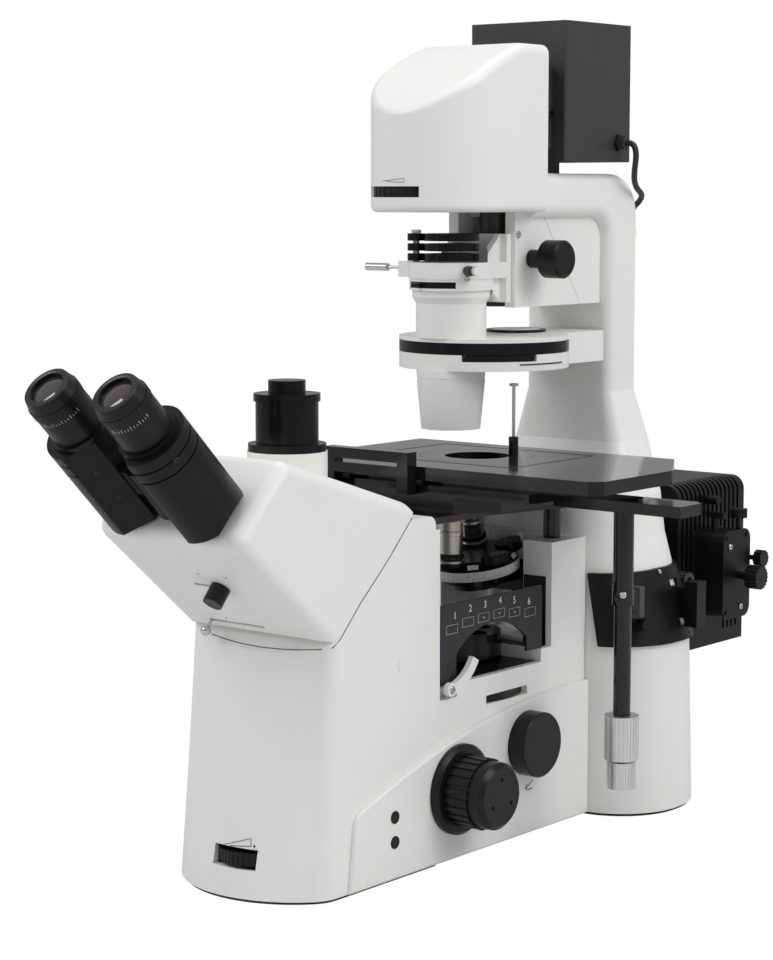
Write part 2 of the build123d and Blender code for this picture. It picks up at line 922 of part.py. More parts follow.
def make_photo_port():
    """Camera port: flange, tube, rim and cap turned in one piece."""
    flange_z = port_collar_top_z + port_flange_h
    tube_z = flange_z + port_tube_h
    rim_z = tube_z + port_rim_h
    profile = [(0, port_collar_top_z), (port_flange_r, port_collar_top_z), (port_flange_r, flange_z),
               (port_tube_r, flange_z), (port_tube_r, tube_z), (port_rim_r, tube_z), (port_rim_r, rim_z),
               (port_cap_r, rim_z), (port_cap_r, rim_z + port_cap_h), (0, rim_z + port_cap_h)]
    return Pos(0, port_y, 0) * turned(profile)


def column_section(half_w, y0, y1, radius, z, grow):
    """One rounded outline of the column, grown by a margin."""
    return rounded_outline(half_w + grow, y0 - grow, y1 + grow, radius + grow, z)


def column_body(grow):
    """Lower column between the table and the hidden top, grown by a margin."""
    foot = column_section(column_foot_half_w, column_front_y, column_back_y, column_foot_r, body_low_z, grow)
    waist = column_section(column_waist_half_w, column_front_y, column_back_y, column_waist_r,
                           column_waist_z, grow)
    neck = column_section(column_neck_half_w, column_front_y, column_back_y, column_neck_r,
                          column_neck_z, grow)
    top = column_section(column_top_half_w, column_front_y, column_back_y, column_top_r, column_top_z, grow)
    return loft([foot, waist], ruled=True) + loft([waist, neck], ruled=True) + loft([neck, top], ruled=True)


def slider_slots():
    """Pockets in the column for the two filter sliders."""
    cut = None
    for y, z, half_t in ((slider_a_y, slider_z, slider_t / 2), (slider_b_y, slider_b_z, slider_t / 2)):
        pocket = box(slider_in_x - slider_travel, column_foot_half_w + cut_over, y - half_t - fit_gap,
                     y + half_t + fit_gap, z - slider_h / 2 - fit_gap, z + slider_h / 2 + fit_gap)
        cut = pocket if cut is None else cut + pocket
    return cut


def iris_bore():
    """Bore for the iris knob's stem."""
    turn = math.radians(iris_knob_angle)
    direction = Vector(math.cos(turn), math.sin(turn), 0)
    start = Vector(iris_knob_at_x, iris_knob_at_y, iris_knob_z) - direction * iris_stem_in
    return rod(start, direction, iris_stem_r + running_gap, iris_stem_in + cut_over)


def arm_body():
    """Pillar and top arm: an upright with a rounded elbow, softened along its length."""
    reach = pillar_front_y - arm_inner_r
    inner = (pillar_front_y - arm_inner_r, arm_low_z - arm_inner_r)
    lean = math.sqrt(1 / 2)
    inner_mid = (inner[0] + arm_inner_r * lean, inner[1] + arm_inner_r * lean)
    outer = (pillar_back_y - arm_outer_r, arm_top_z - arm_outer_r)
    outer_mid = (outer[0] + arm_outer_r * lean, outer[1] + arm_outer_r * lean)
    outline = make_face([
        Line((pillar_front_y, pillar_z), (pillar_front_y, arm_low_z - arm_inner_r)),
        ThreePointArc((pillar_front_y, arm_low_z - arm_inner_r), inner_mid, (reach, arm_low_z)),
        Line((reach, arm_low_z), (shell_back_y, arm_low_z)),
        Line((shell_back_y, arm_low_z), (shell_back_y, arm_top_z)),
        Line((shell_back_y, arm_top_z), (outer[0], arm_top_z)),
        ThreePointArc((outer[0], arm_top_z), outer_mid, (pillar_back_y, outer[1])),
        Line((pillar_back_y, outer[1]), (pillar_back_y, pillar_z)),
        Line((pillar_back_y, pillar_z), (pillar_front_y, pillar_z))])
    arm = extrude(Pos(-pillar_half_w, 0, 0) * (Plane.YZ * outline), 2 * pillar_half_w, dir=(1, 0, 0))
    lengthwise = []
    for edge in arm.edges():
        at_side = abs(abs(edge.center().X) - pillar_half_w) < running_gap
        at_foot = abs(edge.center().Z - pillar_z) < running_gap
        at_head = abs(edge.center().Y - shell_back_y) < running_gap
        if at_side and not at_foot and not at_head:
            lengthwise.append(edge)
    return fillet(lengthwise, pillar_r)


def make_rear_column():
    """Column, pillar and top arm in one casting."""
    top = column_section(column_top_half_w, column_front_y, column_back_y, column_top_r, column_top_z, 0)
    ankle = column_section(ankle_half_w, ankle_front_y, ankle_back_y, ankle_r, ankle_z, 0)
    shin = column_section(shin_half_w, shin_front_y, shin_back_y, shin_r, shin_z, 0)
    pillar_foot = column_section(pillar_half_w, pillar_front_y, pillar_back_y, pillar_r, pillar_z, 0)
    upper = loft([top, ankle], ruled=True) + loft([ankle, shin], ruled=True)
    upper += loft([shin, pillar_foot], ruled=True)
    column = column_body(0) + upper + arm_body()
    inlet_z = cable_end_z - inlet_neck_h
    column += rod((cable_end_x, pillar_back_y - inlet_r, inlet_z), (0, 1, 0), inlet_r,
                  cable_end_y + 2 * inlet_r - pillar_back_y)
    column += rod((cable_end_x, cable_end_y, inlet_z), (0, 0, 1), inlet_neck_r, inlet_neck_h)
    column -= slider_slots()
    column -= iris_bore()
    column -= rod((clamp_knob_start_x() - clamp_stud_in, clamp_knob_y, clamp_knob_z), (1, 0, 0),
                  clamp_stud_r + running_gap, clamp_stud_in + cut_over)
    return column


def clamp_knob_start_x():
    """Plane on which the lamp clamp knob begins, on the right of the lamp's adapter."""
    return rl_neck_half_w + fit_gap


def make_filter_collar():
    """Black collar round the right of the column, cut along a slanted front edge."""
    collar = column_body(collar_proud) - column_body(0)
    span = column_back_y + cut_over
    far = column_foot_half_w + cut_over
    slant = [(collar_left_low_x, collar_low_z), (far, collar_low_z), (far, collar_top_z),
             (collar_left_top_x, collar_top_z)]
    region = make_face(Polyline(*slant, close=True))
    region = extrude(Pos(0, span, 0) * (Plane.XZ * region), span, dir=(0, -1, 0))
    collar = collar & region
    collar -= slider_slots()
    collar -= box(slider_in_x, column_foot_half_w + cut_over, slider_b_y - slider_grip_t / 2 - fit_gap,
                  slider_b_y + slider_grip_t / 2 + fit_gap, slider_b_z - slider_grip_h / 2 - fit_gap,
                  slider_b_z + slider_grip_h / 2 + fit_gap)
    collar -= iris_bore()
    return collar


def make_slider(y, z, out_x, with_grip):
    """A filter slider: a plate with two finger holes or a block as its grip."""
    slider = box(slider_in_x, out_x, y - slider_t / 2, y + slider_t / 2, z - slider_h / 2, z + slider_h / 2)
    if with_grip:
        slider += box(out_x - slider_grip_len, out_x, y - slider_grip_t / 2, y + slider_grip_t / 2,
                      z - slider_grip_h / 2, z + slider_grip_h / 2)
        return slider
    for side in (-1, 1):
        hole = (out_x - slider_h / 4, y - slider_t, z + side * slider_h / 4)
        slider -= rod(hole, (0, 1, 0), slider_hole_r, 2 * slider_t)
    return slider


def make_iris_knob():
    """Small round knob on the collar with its stem."""
    turn = math.radians(iris_knob_angle)
    direction = Vector(math.cos(turn), math.sin(turn), 0)
    start = Vector(iris_knob_at_x, iris_knob_at_y, iris_knob_z)
    stem_start = start - direction * (iris_stem_in - fit_gap)
    knob_start = start + direction * (collar_proud + fit_gap)
    stem = rod(stem_start, direction, iris_stem_r, iris_stem_in + collar_proud + fit_gap)
    return stem + rod(knob_start, direction, iris_knob_r, iris_knob_len)


def make_epi_lamp_house():
    """Finned lamp house with its adapter to the column."""
    house = box(-rl_half_w, rl_half_w, rl_front_y, rl_back_y, rl_low_z, rl_top_z)
    house = fillet(house.edges().filter_by(Axis.Y).group_by(Axis.Z)[-1], rl_edge_r)
    count = int((rl_back_y - rl_front_y - rl_fin_pitch) / rl_fin_pitch)
    for step in range(count):
        y0 = rl_front_y + rl_fin_pitch * (step + 1) - rl_fin_gap / 2
        y1 = y0 + rl_fin_gap
        near_socket = abs((y0 + y1) / 2 - socket_y) < socket_half_l + rl_fin_gap
        for side in (-1, 1):
            low = rl_low_z + rl_edge_r
            if side > 0 and near_socket:
                low = socket_z + socket_half_h + fit_gap
            outer = side * (rl_half_w + cut_over)
            inner = side * (rl_half_w - rl_fin_depth)
            house -= box(min(inner, outer), max(inner, outer), y0, y1, low, rl_top_z + cut_over)
            shoulder = side * (rl_half_w - rl_edge_r - rl_fin_depth)
            house -= box(min(shoulder, outer), max(shoulder, outer), y0, y1, rl_top_z - rl_fin_depth,
                         rl_top_z + cut_over)
    neck = box(-rl_neck_half_w, rl_neck_half_w, column_back_y, rl_front_y, rl_neck_low_z, rl_neck_top_z)
    house += neck
    house += rod((rl_half_w - rl_fin_depth, lamp_screw_head_y, lamp_screw_head_z), (1, 0, 0),
                 lamp_screw_head_r, rl_fin_depth + lamp_screw_head_len)
    house -= rod((clamp_knob_start_x() - clamp_stud_in - fit_gap, clamp_knob_y, clamp_knob_z), (1, 0, 0),
                 clamp_stud_r + running_gap, clamp_stud_in + cut_over)
    house -= rod((rl_half_w - rl_fin_depth - thumb_stem_in, thumb_side_y, thumb_side_z), (1, 0, 0),
                 thumb_stem_r + running_gap, cut_over)
    return house


def make_clamp_knob():
    """Knurled knob with a hollow end and a stud into the adapter."""
    start = clamp_knob_start_x()
    knob = ribbed(clamp_knob_r, clamp_rib_depth, clamp_ribs, clamp_knob_len)
    knob -= Pos(0, 0, clamp_knob_len - clamp_knob_bore) * Cylinder(
        clamp_knob_bore_r, clamp_knob_bore, align=(Align.CENTER, Align.CENTER, Align.MIN))
    knob = standing(knob, (start, clamp_knob_y, clamp_knob_z), (1, 0, 0))
    return knob + rod((start - clamp_stud_in, clamp_knob_y, clamp_knob_z), (1, 0, 0), clamp_stud_r,
                      clamp_stud_in)


def make_collector_socket():
    """Box on the lamp house's right side with a round-cornered face plate."""
    out = rl_half_w + socket_out
    socket = box(rl_half_w, out, socket_y - socket_half_l, socket_y + socket_half_l,
                 socket_z - socket_half_h, socket_z + socket_half_h)
    over = socket_plate_over
    plate = box(out, out + socket_plate_t, socket_y - socket_half_l - over, socket_y + socket_half_l + over,
                socket_z - socket_half_h - over, socket_z + socket_half_h + over)
    plate = fillet(plate.edges().filter_by(Axis.X), socket_r)
    socket = fillet(socket.edges().filter_by(Axis.X), socket_r) + plate
    for side_y, side_z in ((-1, 1), (1, 1), (-1, -1)):
        place = (out + socket_plate_t, socket_y + side_y * (socket_half_l - socket_r / 2),
                 socket_z + side_z * (socket_half_h - socket_r / 2))
        socket += rod(place, (1, 0, 0), socket_plate_screw_r, socket_plate_screw_h)
    socket -= rod((out - collector_shaft_in, collector_knob_y, collector_knob_z), (1, 0, 0),
                  collector_shaft_r + running_gap, cut_over + collector_shaft_in)
    top = socket_z + socket_half_h
    socket -= rod((thumb_top_x, thumb_top_y, top - thumb_stem_in), (0, 0, 1), thumb_stem_r + running_gap,
                  cut_over)
    socket -= rod((lamp_lever_x, lamp_lever_y, top - thumb_stem_in), (0, 0, 1), lamp_lever_r + running_gap,
                  cut_over)
    return socket


def make_collector_knob():
    """Knurled focusing knob of the lamp's lens, on a short shaft."""
    out = rl_half_w + socket_out
    start = (out - collector_shaft_in + fit_gap, collector_knob_y, collector_knob_z)
    face = out + socket_plate_t + collector_shaft_out
    shaft = rod(start, (1, 0, 0), collector_shaft_r, face - start[0])
    grip = ribbed(collector_knob_r, collector_rib_depth, collector_ribs, collector_knob_t)
    return shaft + standing(grip, (face, collector_knob_y, collector_knob_z), (1, 0, 0))


def make_thumb_screw(origin, direction, stem_in, stem_out):
    """A knurled thumb screw whose stem runs into a bore."""
    way = Vector(*direction)
    stem = rod(Vector(*origin) - way * stem_in, direction, thumb_stem_r, stem_in + stem_out)
    grip = ribbed(thumb_r, thumb_rib_depth, thumb_ribs, thumb_len)
    return stem + standing(grip, Vector(*origin) + way * stem_out, direction)


def make_socket_lever():
    """Short lever on an upright post."""
    top = socket_z + socket_half_h
    post = rod((lamp_lever_x, lamp_lever_y, top - thumb_stem_in + fit_gap), (0, 0, 1), lamp_lever_r,
               thumb_stem_in - fit_gap + lamp_lever_post)
    arm_z = top + lamp_lever_post
    arm = box(lamp_lever_x - lamp_lever_len / 2, lamp_lever_x + lamp_lever_len / 2,
              lamp_lever_y - lamp_lever_w / 2, lamp_lever_y + lamp_lever_w / 2, arm_z, arm_z + lamp_lever_t)
    return post + fillet(arm.edges().filter_by(Axis.Z), lamp_lever_w / 3)


def tube_section():
    """D-shaped section of a prism housing, with a wedge cut under its flat."""
    section = Pos(eye_offset, 0) * Circle(housing_r)
    reach = eye_offset + 2 * housing_r
    section -= Pos(housing_flat - reach / 2, 0) * Rectangle(reach, 2 * reach)
    wedge = Pos(reach / 2, -reach / 2 + fit_gap) * Rectangle(3 * reach, reach)
    section -= Rot(0, 0, -wedge_angle) * wedge
    return section


def make_tube_right():
    """Right prism housing with its hinge knuckle, drawn on the pivot's frame."""
    section = tube_section()
    housing = Pos(0, 0, housing_start) * extrude(section, housing_len)
    top = housing_start + housing_len
    for step in (1, 2):
        ring = Pos(eye_offset, 0, top - housing_cap_len * step / 2) * Cylinder(
            2 * housing_r, housing_groove_w, align=(Align.CENTER, Align.CENTER, Align.MIN))
        ring -= Pos(eye_offset, 0, top - housing_cap_len * step / 2) * Cylinder(
            housing_r - housing_groove_d, housing_groove_w, align=(Align.CENTER, Align.CENTER, Align.MIN))
        housing -= ring
    bevel = Plane(origin=(eye_offset + housing_r - housing_bevel / 2, 0, housing_start), x_dir=(0, 1, 0),
                  z_dir=(1, 0, -1))
    housing -= bevel * Box(3 * housing_r, 2 * housing_bevel, housing_bevel,
                           align=(Align.CENTER, Align.CENTER, Align.MIN))
    return housing


def add_knuckle(housing, start):
    """Give a prism housing its knuckle round the hinge pin."""
    align = (Align.CENTER, Align.CENTER, Align.MIN)
    knuckle = Pos(0, 0, start) * Cylinder(knuckle_r, knuckle_len, align=align)
    knuckle += Pos(0, 0, start) * Box(housing_flat + knuckle_web / 2, 2 * knuckle_web, knuckle_len,
                                      align=(Align.MIN, Align.CENTER, Align.MIN))
    knuckle -= Pos(0, 0, start) * Cylinder(pivot_pin_r + running_gap, knuckle_len, align=align)
    return housing + knuckle


def make_eyepiece():
    """Eyepiece barrel on the right tube's axis, drawn on the pivot's frame."""
    base = housing_start + housing_len
    flange = base + eye_flange_h
    top = base + eye_barrel_len + eye_flange_h
    ring_top = top - dioptre_from_top
    ring_low = ring_top - dioptre_len
    inner = dioptre_in_r - running_gap
    profile = [(0, base), (eye_flange_r, base), (eye_flange_r, flange), (eye_barrel_r, flange),
               (eye_barrel_r, ring_low - fit_gap), (inner, ring_low - fit_gap), (inner, ring_top + fit_gap),
               (eye_barrel_r, ring_top + fit_gap), (eye_barrel_r - eye_rim_taper, top),
               (lens_r + running_gap, top), (lens_r + running_gap, top - lens_sink), (0, top - lens_sink)]
    return Pos(eye_offset, 0, 0) * turned(profile)


def make_dioptre_ring():
    """Focusing ring round the right eyepiece, drawn on the pivot's frame."""
    top = housing_start + housing_len + eye_flange_h + eye_barrel_len - dioptre_from_top
    ring = ribbed(dioptre_r, dioptre_rib_depth, dioptre_ribs, dioptre_len)
    align = (Align.CENTER, Align.CENTER, Align.MIN)
    ring -= Cylinder(dioptre_in_r, dioptre_len, align=align)
    return Pos(eye_offset, 0, top - dioptre_len) * ring


def nose_frame():
    """The nosepiece's own frame: origin at the seat plane, z along its tilted axis."""
    lean = math.radians(nose_tilt)
    reach = station_r / math.sin(lean)
    centre = (0, reach * math.cos(lean) * math.sin(lean),
              objective_seat_z + reach - reach * math.cos(lean) ** 2)
    return Plane(origin=centre, x_dir=(1, 0, 0), z_dir=(0, -math.sin(lean), math.cos(lean)))


def station_frame(index):
    """Seat of one station: z runs up the objective, towards the common axis."""
    turn = 2 * math.pi * index / station_count - math.pi / 2
    lean = math.radians(nose_tilt)
    out_x = math.cos(turn)
    out_y = math.sin(turn)
    seat = (station_r * out_x, station_r * out_y, 0)
    direction = (-out_x * math.sin(lean), -out_y * math.sin(lean), math.cos(lean))
    local = Plane(origin=seat, z_dir=direction)
    return Location(nose_frame()) * Location(local)


def make_nosepiece():
    """Revolving nosepiece with a scale ring, seats and caps on the empty stations."""
    profile = [(0, -nose_h), (nose_low_r, -nose_h), (nose_low_r, -nose_h + nose_lower_h / 2),
               (nose_r, -nose_h + nose_lower_h), (nose_r, -scale_ring_drop - scale_ring_h),
               (scale_ring_r, -scale_ring_drop - scale_ring_h), (scale_ring_r, -scale_ring_drop),
               (nose_r - scale_ring_drop / 2, 0), (0, 0)]
    nose = nose_frame() * turned(profile)
    align = (Align.CENTER, Align.CENTER, Align.MIN)
    for index in range(station_count):
        seat = Pos(0, 0, -objective_seat_h) * Cylinder(objective_seat_r, objective_seat_h, align=align)
        nose += station_frame(index) * seat
        clear = Cylinder(objective_seat_r + fit_gap, 2 * cap_h, align=align)
        nose -= station_frame(index) * clear
    for index in capped_station_shares:
        nose += station_frame(index) * Cylinder(cap_r, cap_h, align=align)
    bore_h = carrier_h / 2
    nose -= nose_frame() * (Pos(0, 0, -nose_h) * Cylinder(guide_pin_r + running_gap, bore_h, align=align))
    return nose


def make_objective(index, body_h):
    """One objective standing on its station."""
    profile = [(0, 0), (objective_seat_r, 0), (objective_seat_r, objective_seat_h / 2),
               (objective_r, objective_seat_h), (objective_r, body_h),
               (objective_tip_r, body_h + objective_tip_h), (0, body_h + objective_tip_h)]
    return station_frame(index) * turned(profile)


def make_nosepiece_carrier():
    """Bracket under the nosepiece with a block that slides on two upright pins."""
    align = (Align.CENTER, Align.CENTER, Align.MIN)
    low = -nose_h - carrier_gap - carrier_h
    boss = nose_frame() * (Pos(0, 0, low) * Cylinder(carrier_r, carrier_h, align=align))
    boss += nose_frame() * (Pos(0, 0, low) * Cylinder(guide_pin_r, carrier_h + carrier_gap + carrier_h / 2
                                                      - fit_gap, align=align))
    back = window_back_y + rear_port_depth - fit_gap
    arm = box(-carrier_arm_half_w, carrier_arm_half_w, carrier_arm_y, back - slide_block_t,
              carrier_arm_z, carrier_arm_z + carrier_arm_t)
    block = box(-slide_block_half_w, slide_block_half_w, back - slide_block_t, back, slide_block_z,
                slide_block_z + slide_block_h)
    for side in (-1, 1):
        block -= rod((side * guide_pin_x, back - slide_block_t / 2, slide_block_z), (0, 0, 1),
                     guide_pin_r + running_gap, slide_block_h)
    return boss + arm + block


def make_filter_turret():
    """Filter wheel under the nosepiece with six cells."""
    align = (Align.CENTER, Align.CENTER, Align.MIN)
    wheel = Pos(0, turret_y, turret_low_z) * Cylinder(turret_r, turret_h, align=align)
    wheel -= Pos(0, turret_y, turret_low_z) * Cylinder(turret_hub_r + running_gap, turret_h, align=align)
    for index in range(turret_cells):
        turn = 2 * math.pi * index / turret_cells
        x = turret_cell_ring_r * math.cos(turn)
        y = turret_y + turret_cell_ring_r * math.sin(turn)
        wheel -= Pos(x, y, turret_low_z) * Cylinder(turret_cell_r, turret_h, align=align)
    return wheel


def make_number_plate():
    """Thin cover plate beside the filter wheel, cut out like an arch below."""
    mid_y = (number_arch_front_y + number_arch_back_y) / 2
    arch_top = (mid_y, number_arch_z + number_arch_rise)
    outline = make_face([
        Line((number_plate_front_y, sill_z), (number_plate_front_y, number_plate_top_z)),
        Line((number_plate_front_y, number_plate_top_z), (number_plate_back_y, number_plate_top_z)),
        Line((number_plate_back_y, number_plate_top_z), (number_plate_back_y, sill_step_z)),
        Line((number_plate_back_y, sill_step_z), (number_arch_back_y, sill_step_z)),
        Line((number_arch_back_y, sill_step_z), (number_arch_back_y, number_arch_z)),
        ThreePointArc((number_arch_back_y, number_arch_z), arch_top, (number_arch_front_y, number_arch_z)),
        Line((number_arch_front_y, number_arch_z), (number_arch_front_y, sill_z)),
        Line((number_arch_front_y, sill_z), (number_plate_front_y, sill_z))])
    return extrude(Pos(number_plate_x, 0, 0) * (Plane.YZ * outline), number_plate_t, dir=(1, 0, 0))


def make_window_lever():
    """Curved white lever on a pin in the corner of the window."""
    start_x = body_half_w + fit_gap
    lever = rod((start_x, lever_y, lever_z), (1, 0, 0), lever_boss_r, lever_t)
    bend = (lever_y + lever_len / 2, lever_z + lever_len / 6)
    tip = (lever_y + lever_len, lever_z + lever_len * 2 / 3)
    spine = ThreePointArc((lever_y, lever_z), bend, tip)
    blade = Plane.YZ * trace(spine, lever_w)
    lever += extrude(Pos(start_x, 0, 0) * blade, lever_t, dir=(1, 0, 0))
    lever -= rod((start_x, lever_y, lever_z), (1, 0, 0), lever_pin_r + running_gap, lever_t)
    return lever


def make_coarse_knobs():
    """Coarse focus: a ribbed knob on each side of one hollow shaft."""
    face_x = side_plate_out_x + fit_gap + tension_t + fit_gap
    shaft = rod((-face_x, focus_y, focus_z), (1, 0, 0), coarse_shaft_r, 2 * face_x)
    knobs = shaft
    for side in (-1, 1):
        grip = ribbed(coarse_r, coarse_rib_depth, coarse_ribs, coarse_t)
        knobs += standing(grip, (side * face_x, focus_y, focus_z), (side, 0, 0))
    reach = face_x + coarse_t
    knobs -= rod((-reach, focus_y, focus_z), (1, 0, 0), fine_shaft_r + running_gap, 2 * reach)
    return knobs


def make_fine_knobs():
    """Fine focus: a smooth knob on each side of the inner shaft."""
    face_x = side_plate_out_x + tension_t + coarse_t + 3 * fit_gap
    knobs = rod((-face_x, focus_y, focus_z), (1, 0, 0), fine_shaft_r, 2 * face_x)
    for side in (-1, 1):
        align = (Align.CENTER, Align.CENTER, Align.MIN)
        grip = Cylinder(fine_r, fine_t, align=align)
        grip = chamfer(grip.edges().group_by(Axis.Z)[-1], fine_edge)
        for step in range(3):
            turn = 2 * math.pi * step / 3
            place = (fine_hole_ring_r * math.cos(turn), fine_hole_ring_r * math.sin(turn),
                     fine_t - fine_hole_depth)
            grip -= Pos(*place) * Cylinder(fine_hole_r, fine_t, align=align)
        knobs += standing(grip, (side * face_x, focus_y, focus_z), (side, 0, 0))
    return knobs


def make_tension_ring():
    """Tension ring between the side plate and the right coarse knob."""
    slope = tension_t - tension_cone
    profile = [(coarse_shaft_r + running_gap, 0), (tension_r, 0), (tension_r, slope),
               (tension_r - tension_cone, tension_t), (coarse_shaft_r + running_gap, tension_t)]
    return standing(turned(profile), (side_plate_out_x + fit_gap, focus_y, focus_z), (1, 0, 0))


def make_selector_knob():
    """Smooth disc knob of the light-path selector."""
    align = (Align.CENTER, Align.CENTER, Align.MIN)
    grip = Cylinder(selector_r, selector_t, align=align)
    grip = chamfer(grip.edges().group_by(Axis.Z)[-1], selector_edge)
    start = side_plate_out_x + fit_gap
    knob = standing(grip, (start, selector_y, selector_z), (1, 0, 0))
    length = selector_shaft_in - fit_gap
    return knob + rod((body_half_w - length, selector_y, selector_z), (1, 0, 0), selector_shaft_r,
                      start - body_half_w + length)


def make_button(z):
    """Round push button of the lamps."""
    start = side_plate_out_x + button_proud - button_len
    return rod((start, button_y, z), (1, 0, 0), button_r, button_len)


def make_brightness_dial():
    """Ribbed wheel behind the slot in the tower's front."""
    align = (Align.CENTER, Align.CENTER, Align.MIN)
    wheel = ribbed(dial_r, dial_rib_depth, dial_ribs, dial_h)
    wheel -= Cylinder(dial_pin_r + running_gap, dial_h, align=align)
    return Pos(dial_x, dial_centre_y(), dial_z - dial_h / 2) * wheel


def make_changer_wheel():
    """Magnification wheel whose rim shows in the right side."""
    align = (Align.CENTER, Align.CENTER, Align.MIN)
    height = changer_h - 2 * fit_gap
    wheel = Cylinder(changer_r - fit_gap - changer_proud, height, align=align)
    wheel -= Cylinder(changer_pin_r + running_gap, height, align=align)
    centre_x = body_half_w + changer_proud - changer_r
    return Pos(centre_x, changer_y, changer_z - height / 2) * wheel


def make_slide_knob():
    """Turned knob that runs along the upper slot of the head."""
    stem = Cylinder(slide_knob_stem_r, slot_depth / 2 + slide_knob_len / 2)
    align = (Align.CENTER, Align.CENTER, Align.MIN)
    knob = Pos(0, 0, fit_gap) * Cylinder(slide_knob_r, slide_knob_len, align=align)
    return on_face(slide_knob_x, slot_upper_along) * (stem + knob)


def make_ball_pin():
    """Bright ball-headed pin that runs along the lower slot of the head."""
    align = (Align.CENTER, Align.CENTER, Align.MIN)
    stem = Pos(0, 0, -slot_depth / 2) * Cylinder(pin_stem_r, slot_depth / 2 + pin_stem_len, align=align)
    ball = Pos(0, 0, pin_stem_len) * Sphere(pin_ball_r)
    return on_face(pin_ball_x, slot_lower_along) * (stem + ball)


def make_stage_base():
    """Fixed stage base: lower plate, posts and the rail frame under the y plate."""
    half_w = base_stage_half_w
    slim = base_stage_front_half_w
    sheet = [(-slim, base_stage_front_y), (slim, base_stage_front_y), (slim, base_stage_taper_y),
             (half_w, base_stage_wide_y), (half_w, base_stage_back_y), (-half_w, base_stage_back_y),
             (-half_w, base_stage_wide_y), (-slim, base_stage_taper_y)]
    low = slab(sheet, base_stage_low_z, base_stage_low_z + base_stage_t)
    frame_top = rail_frame_low_z + rail_frame_t
    corner = rail_frame_corner
    outline = [(-rail_frame_half_w, rail_frame_front_y), (rail_frame_half_w - corner, rail_frame_front_y),
               (rail_frame_half_w, rail_frame_front_y + corner), (rail_frame_half_w, rail_frame_back_y),
               (-rail_frame_half_w, rail_frame_back_y)]
    base = low + slab(outline, rail_frame_low_z, frame_top)
    for side in (-1, 1):
        posts = ((slim - stage_post_inset, rail_frame_front_y + stage_post_inset),
                 (half_w - stage_post_inset, base_stage_back_y - stage_post_inset))
        for x, y in posts:
            base += rod((side * x, y, base_stage_low_z), (0, 0, 1), stage_post_r,
                        rail_frame_low_z - base_stage_low_z)
        base += rod((side * shelf_post_x, shelf_post_y, shelf_z), (0, 0, 1), stage_post_r,
                    base_stage_low_z - shelf_z)
    base -= rod((0, stage_bore_y, base_stage_low_z - cut_over), (0, 0, 1), stage_bore_r,
                frame_top - base_stage_low_z + 2 * cut_over)
    return base


def make_stage_y_plate():
    """Middle stage plate with rails, drive arm and the hanging drive rod."""
    top = y_plate_low_z + y_plate_t
    plate = box(y_plate_left_x, y_plate_right_x, y_plate_front_y, y_plate_back_y, y_plate_low_z, top)
    for y in (y_plate_front_y + y_rail_inset, y_plate_back_y - y_rail_inset - y_rail_w):
        plate += box(y_plate_left_x, y_plate_right_x, y, y + y_rail_w, top, top + y_rail_h)
    plate -= rod((0, stage_bore_y, y_plate_low_z - cut_over), (0, 0, 1), stage_bore_r, 3 * cut_over)
    chamfer_x = drive_arm_right_x - drive_arm_chamfer
    arm = slab([(drive_arm_left_x, drive_arm_front_y), (drive_arm_right_x, drive_arm_front_y),
                (drive_arm_right_x, drive_arm_back_y - drive_arm_chamfer), (chamfer_x, drive_arm_back_y),
                (drive_arm_left_x, drive_arm_back_y)], y_plate_low_z - drive_arm_t, y_plate_low_z)
    plate += arm
    arm_low = y_plate_low_z - drive_arm_t
    plate += rod((drive_x, drive_y, drive_sleeve_low_z), (0, 0, 1), drive_sleeve_r, arm_low - drive_sleeve_low_z)
    plate += rod((drive_x, drive_y, drive_clamp_low_z), (0, 0, 1), drive_clamp_r,
                 drive_sleeve_low_z - drive_clamp_low_z)
    plate += rod((drive_x, drive_y, drive_tube_low_z), (0, 0, 1), drive_tube_r,
                 drive_clamp_low_z - drive_tube_low_z)
    core_low = x_knob_low_z + y_knob_band
    plate += rod((drive_x, drive_y, core_low), (0, 0, 1), drive_core_r, drive_tube_low_z - core_low)
    plate += rod((drive_x, drive_y - drive_clamp_r - drive_screw_h, (drive_clamp_low_z + drive_sleeve_low_z) / 2),
                 (0, 1, 0), drive_screw_r, 2 * drive_screw_h)
    return plate


def make_stage_top():
    """Top stage plate with the insert pocket and the slotted frame at its front."""
    top = top_plate_low_z + top_plate_t
    outline = [(top_plate_left_x, top_plate_front_y), (top_plate_right_x - top_plate_chamfer, top_plate_front_y),
               (top_plate_right_x, top_plate_front_y + top_plate_chamfer),
               (top_plate_right_x, top_plate_right_back_y), (top_plate_cut_x, top_plate_back_y),
               (top_plate_left_x, top_plate_back_y)]
    plate = slab(outline, top_plate_low_z, top)
    gap = insert_gap
    pocket = box(insert_left_x - gap, insert_right_x + gap, insert_front_y - gap, insert_back_y + gap,
                 top - insert_t, top + cut_over)
    plate -= fillet(pocket.edges().filter_by(Axis.Z), insert_corner_r)
    ledge = insert_ledge
    plate -= box(insert_left_x + ledge, insert_right_x - ledge, insert_front_y + ledge, insert_back_y - ledge,
                 top_plate_low_z - cut_over, top)
    back = top_plate_front_y
    front = back - guide_t
    frame = box(guide_left_x, guide_right_x, front, back, guide_low_z, guide_top_z)
    inner_left = guide_left_x + guide_leg_w
    inner_right = guide_right_x - guide_leg_w
    slot_top = guide_top_z - guide_bar_h
    frame -= box(inner_left, inner_right, front, back, slot_top - guide_slot_h, slot_top)
    frame -= box(inner_left, inner_right, front, back, guide_low_z - cut_over,
                 slot_top - guide_slot_h - guide_second_h)
    return plate + frame


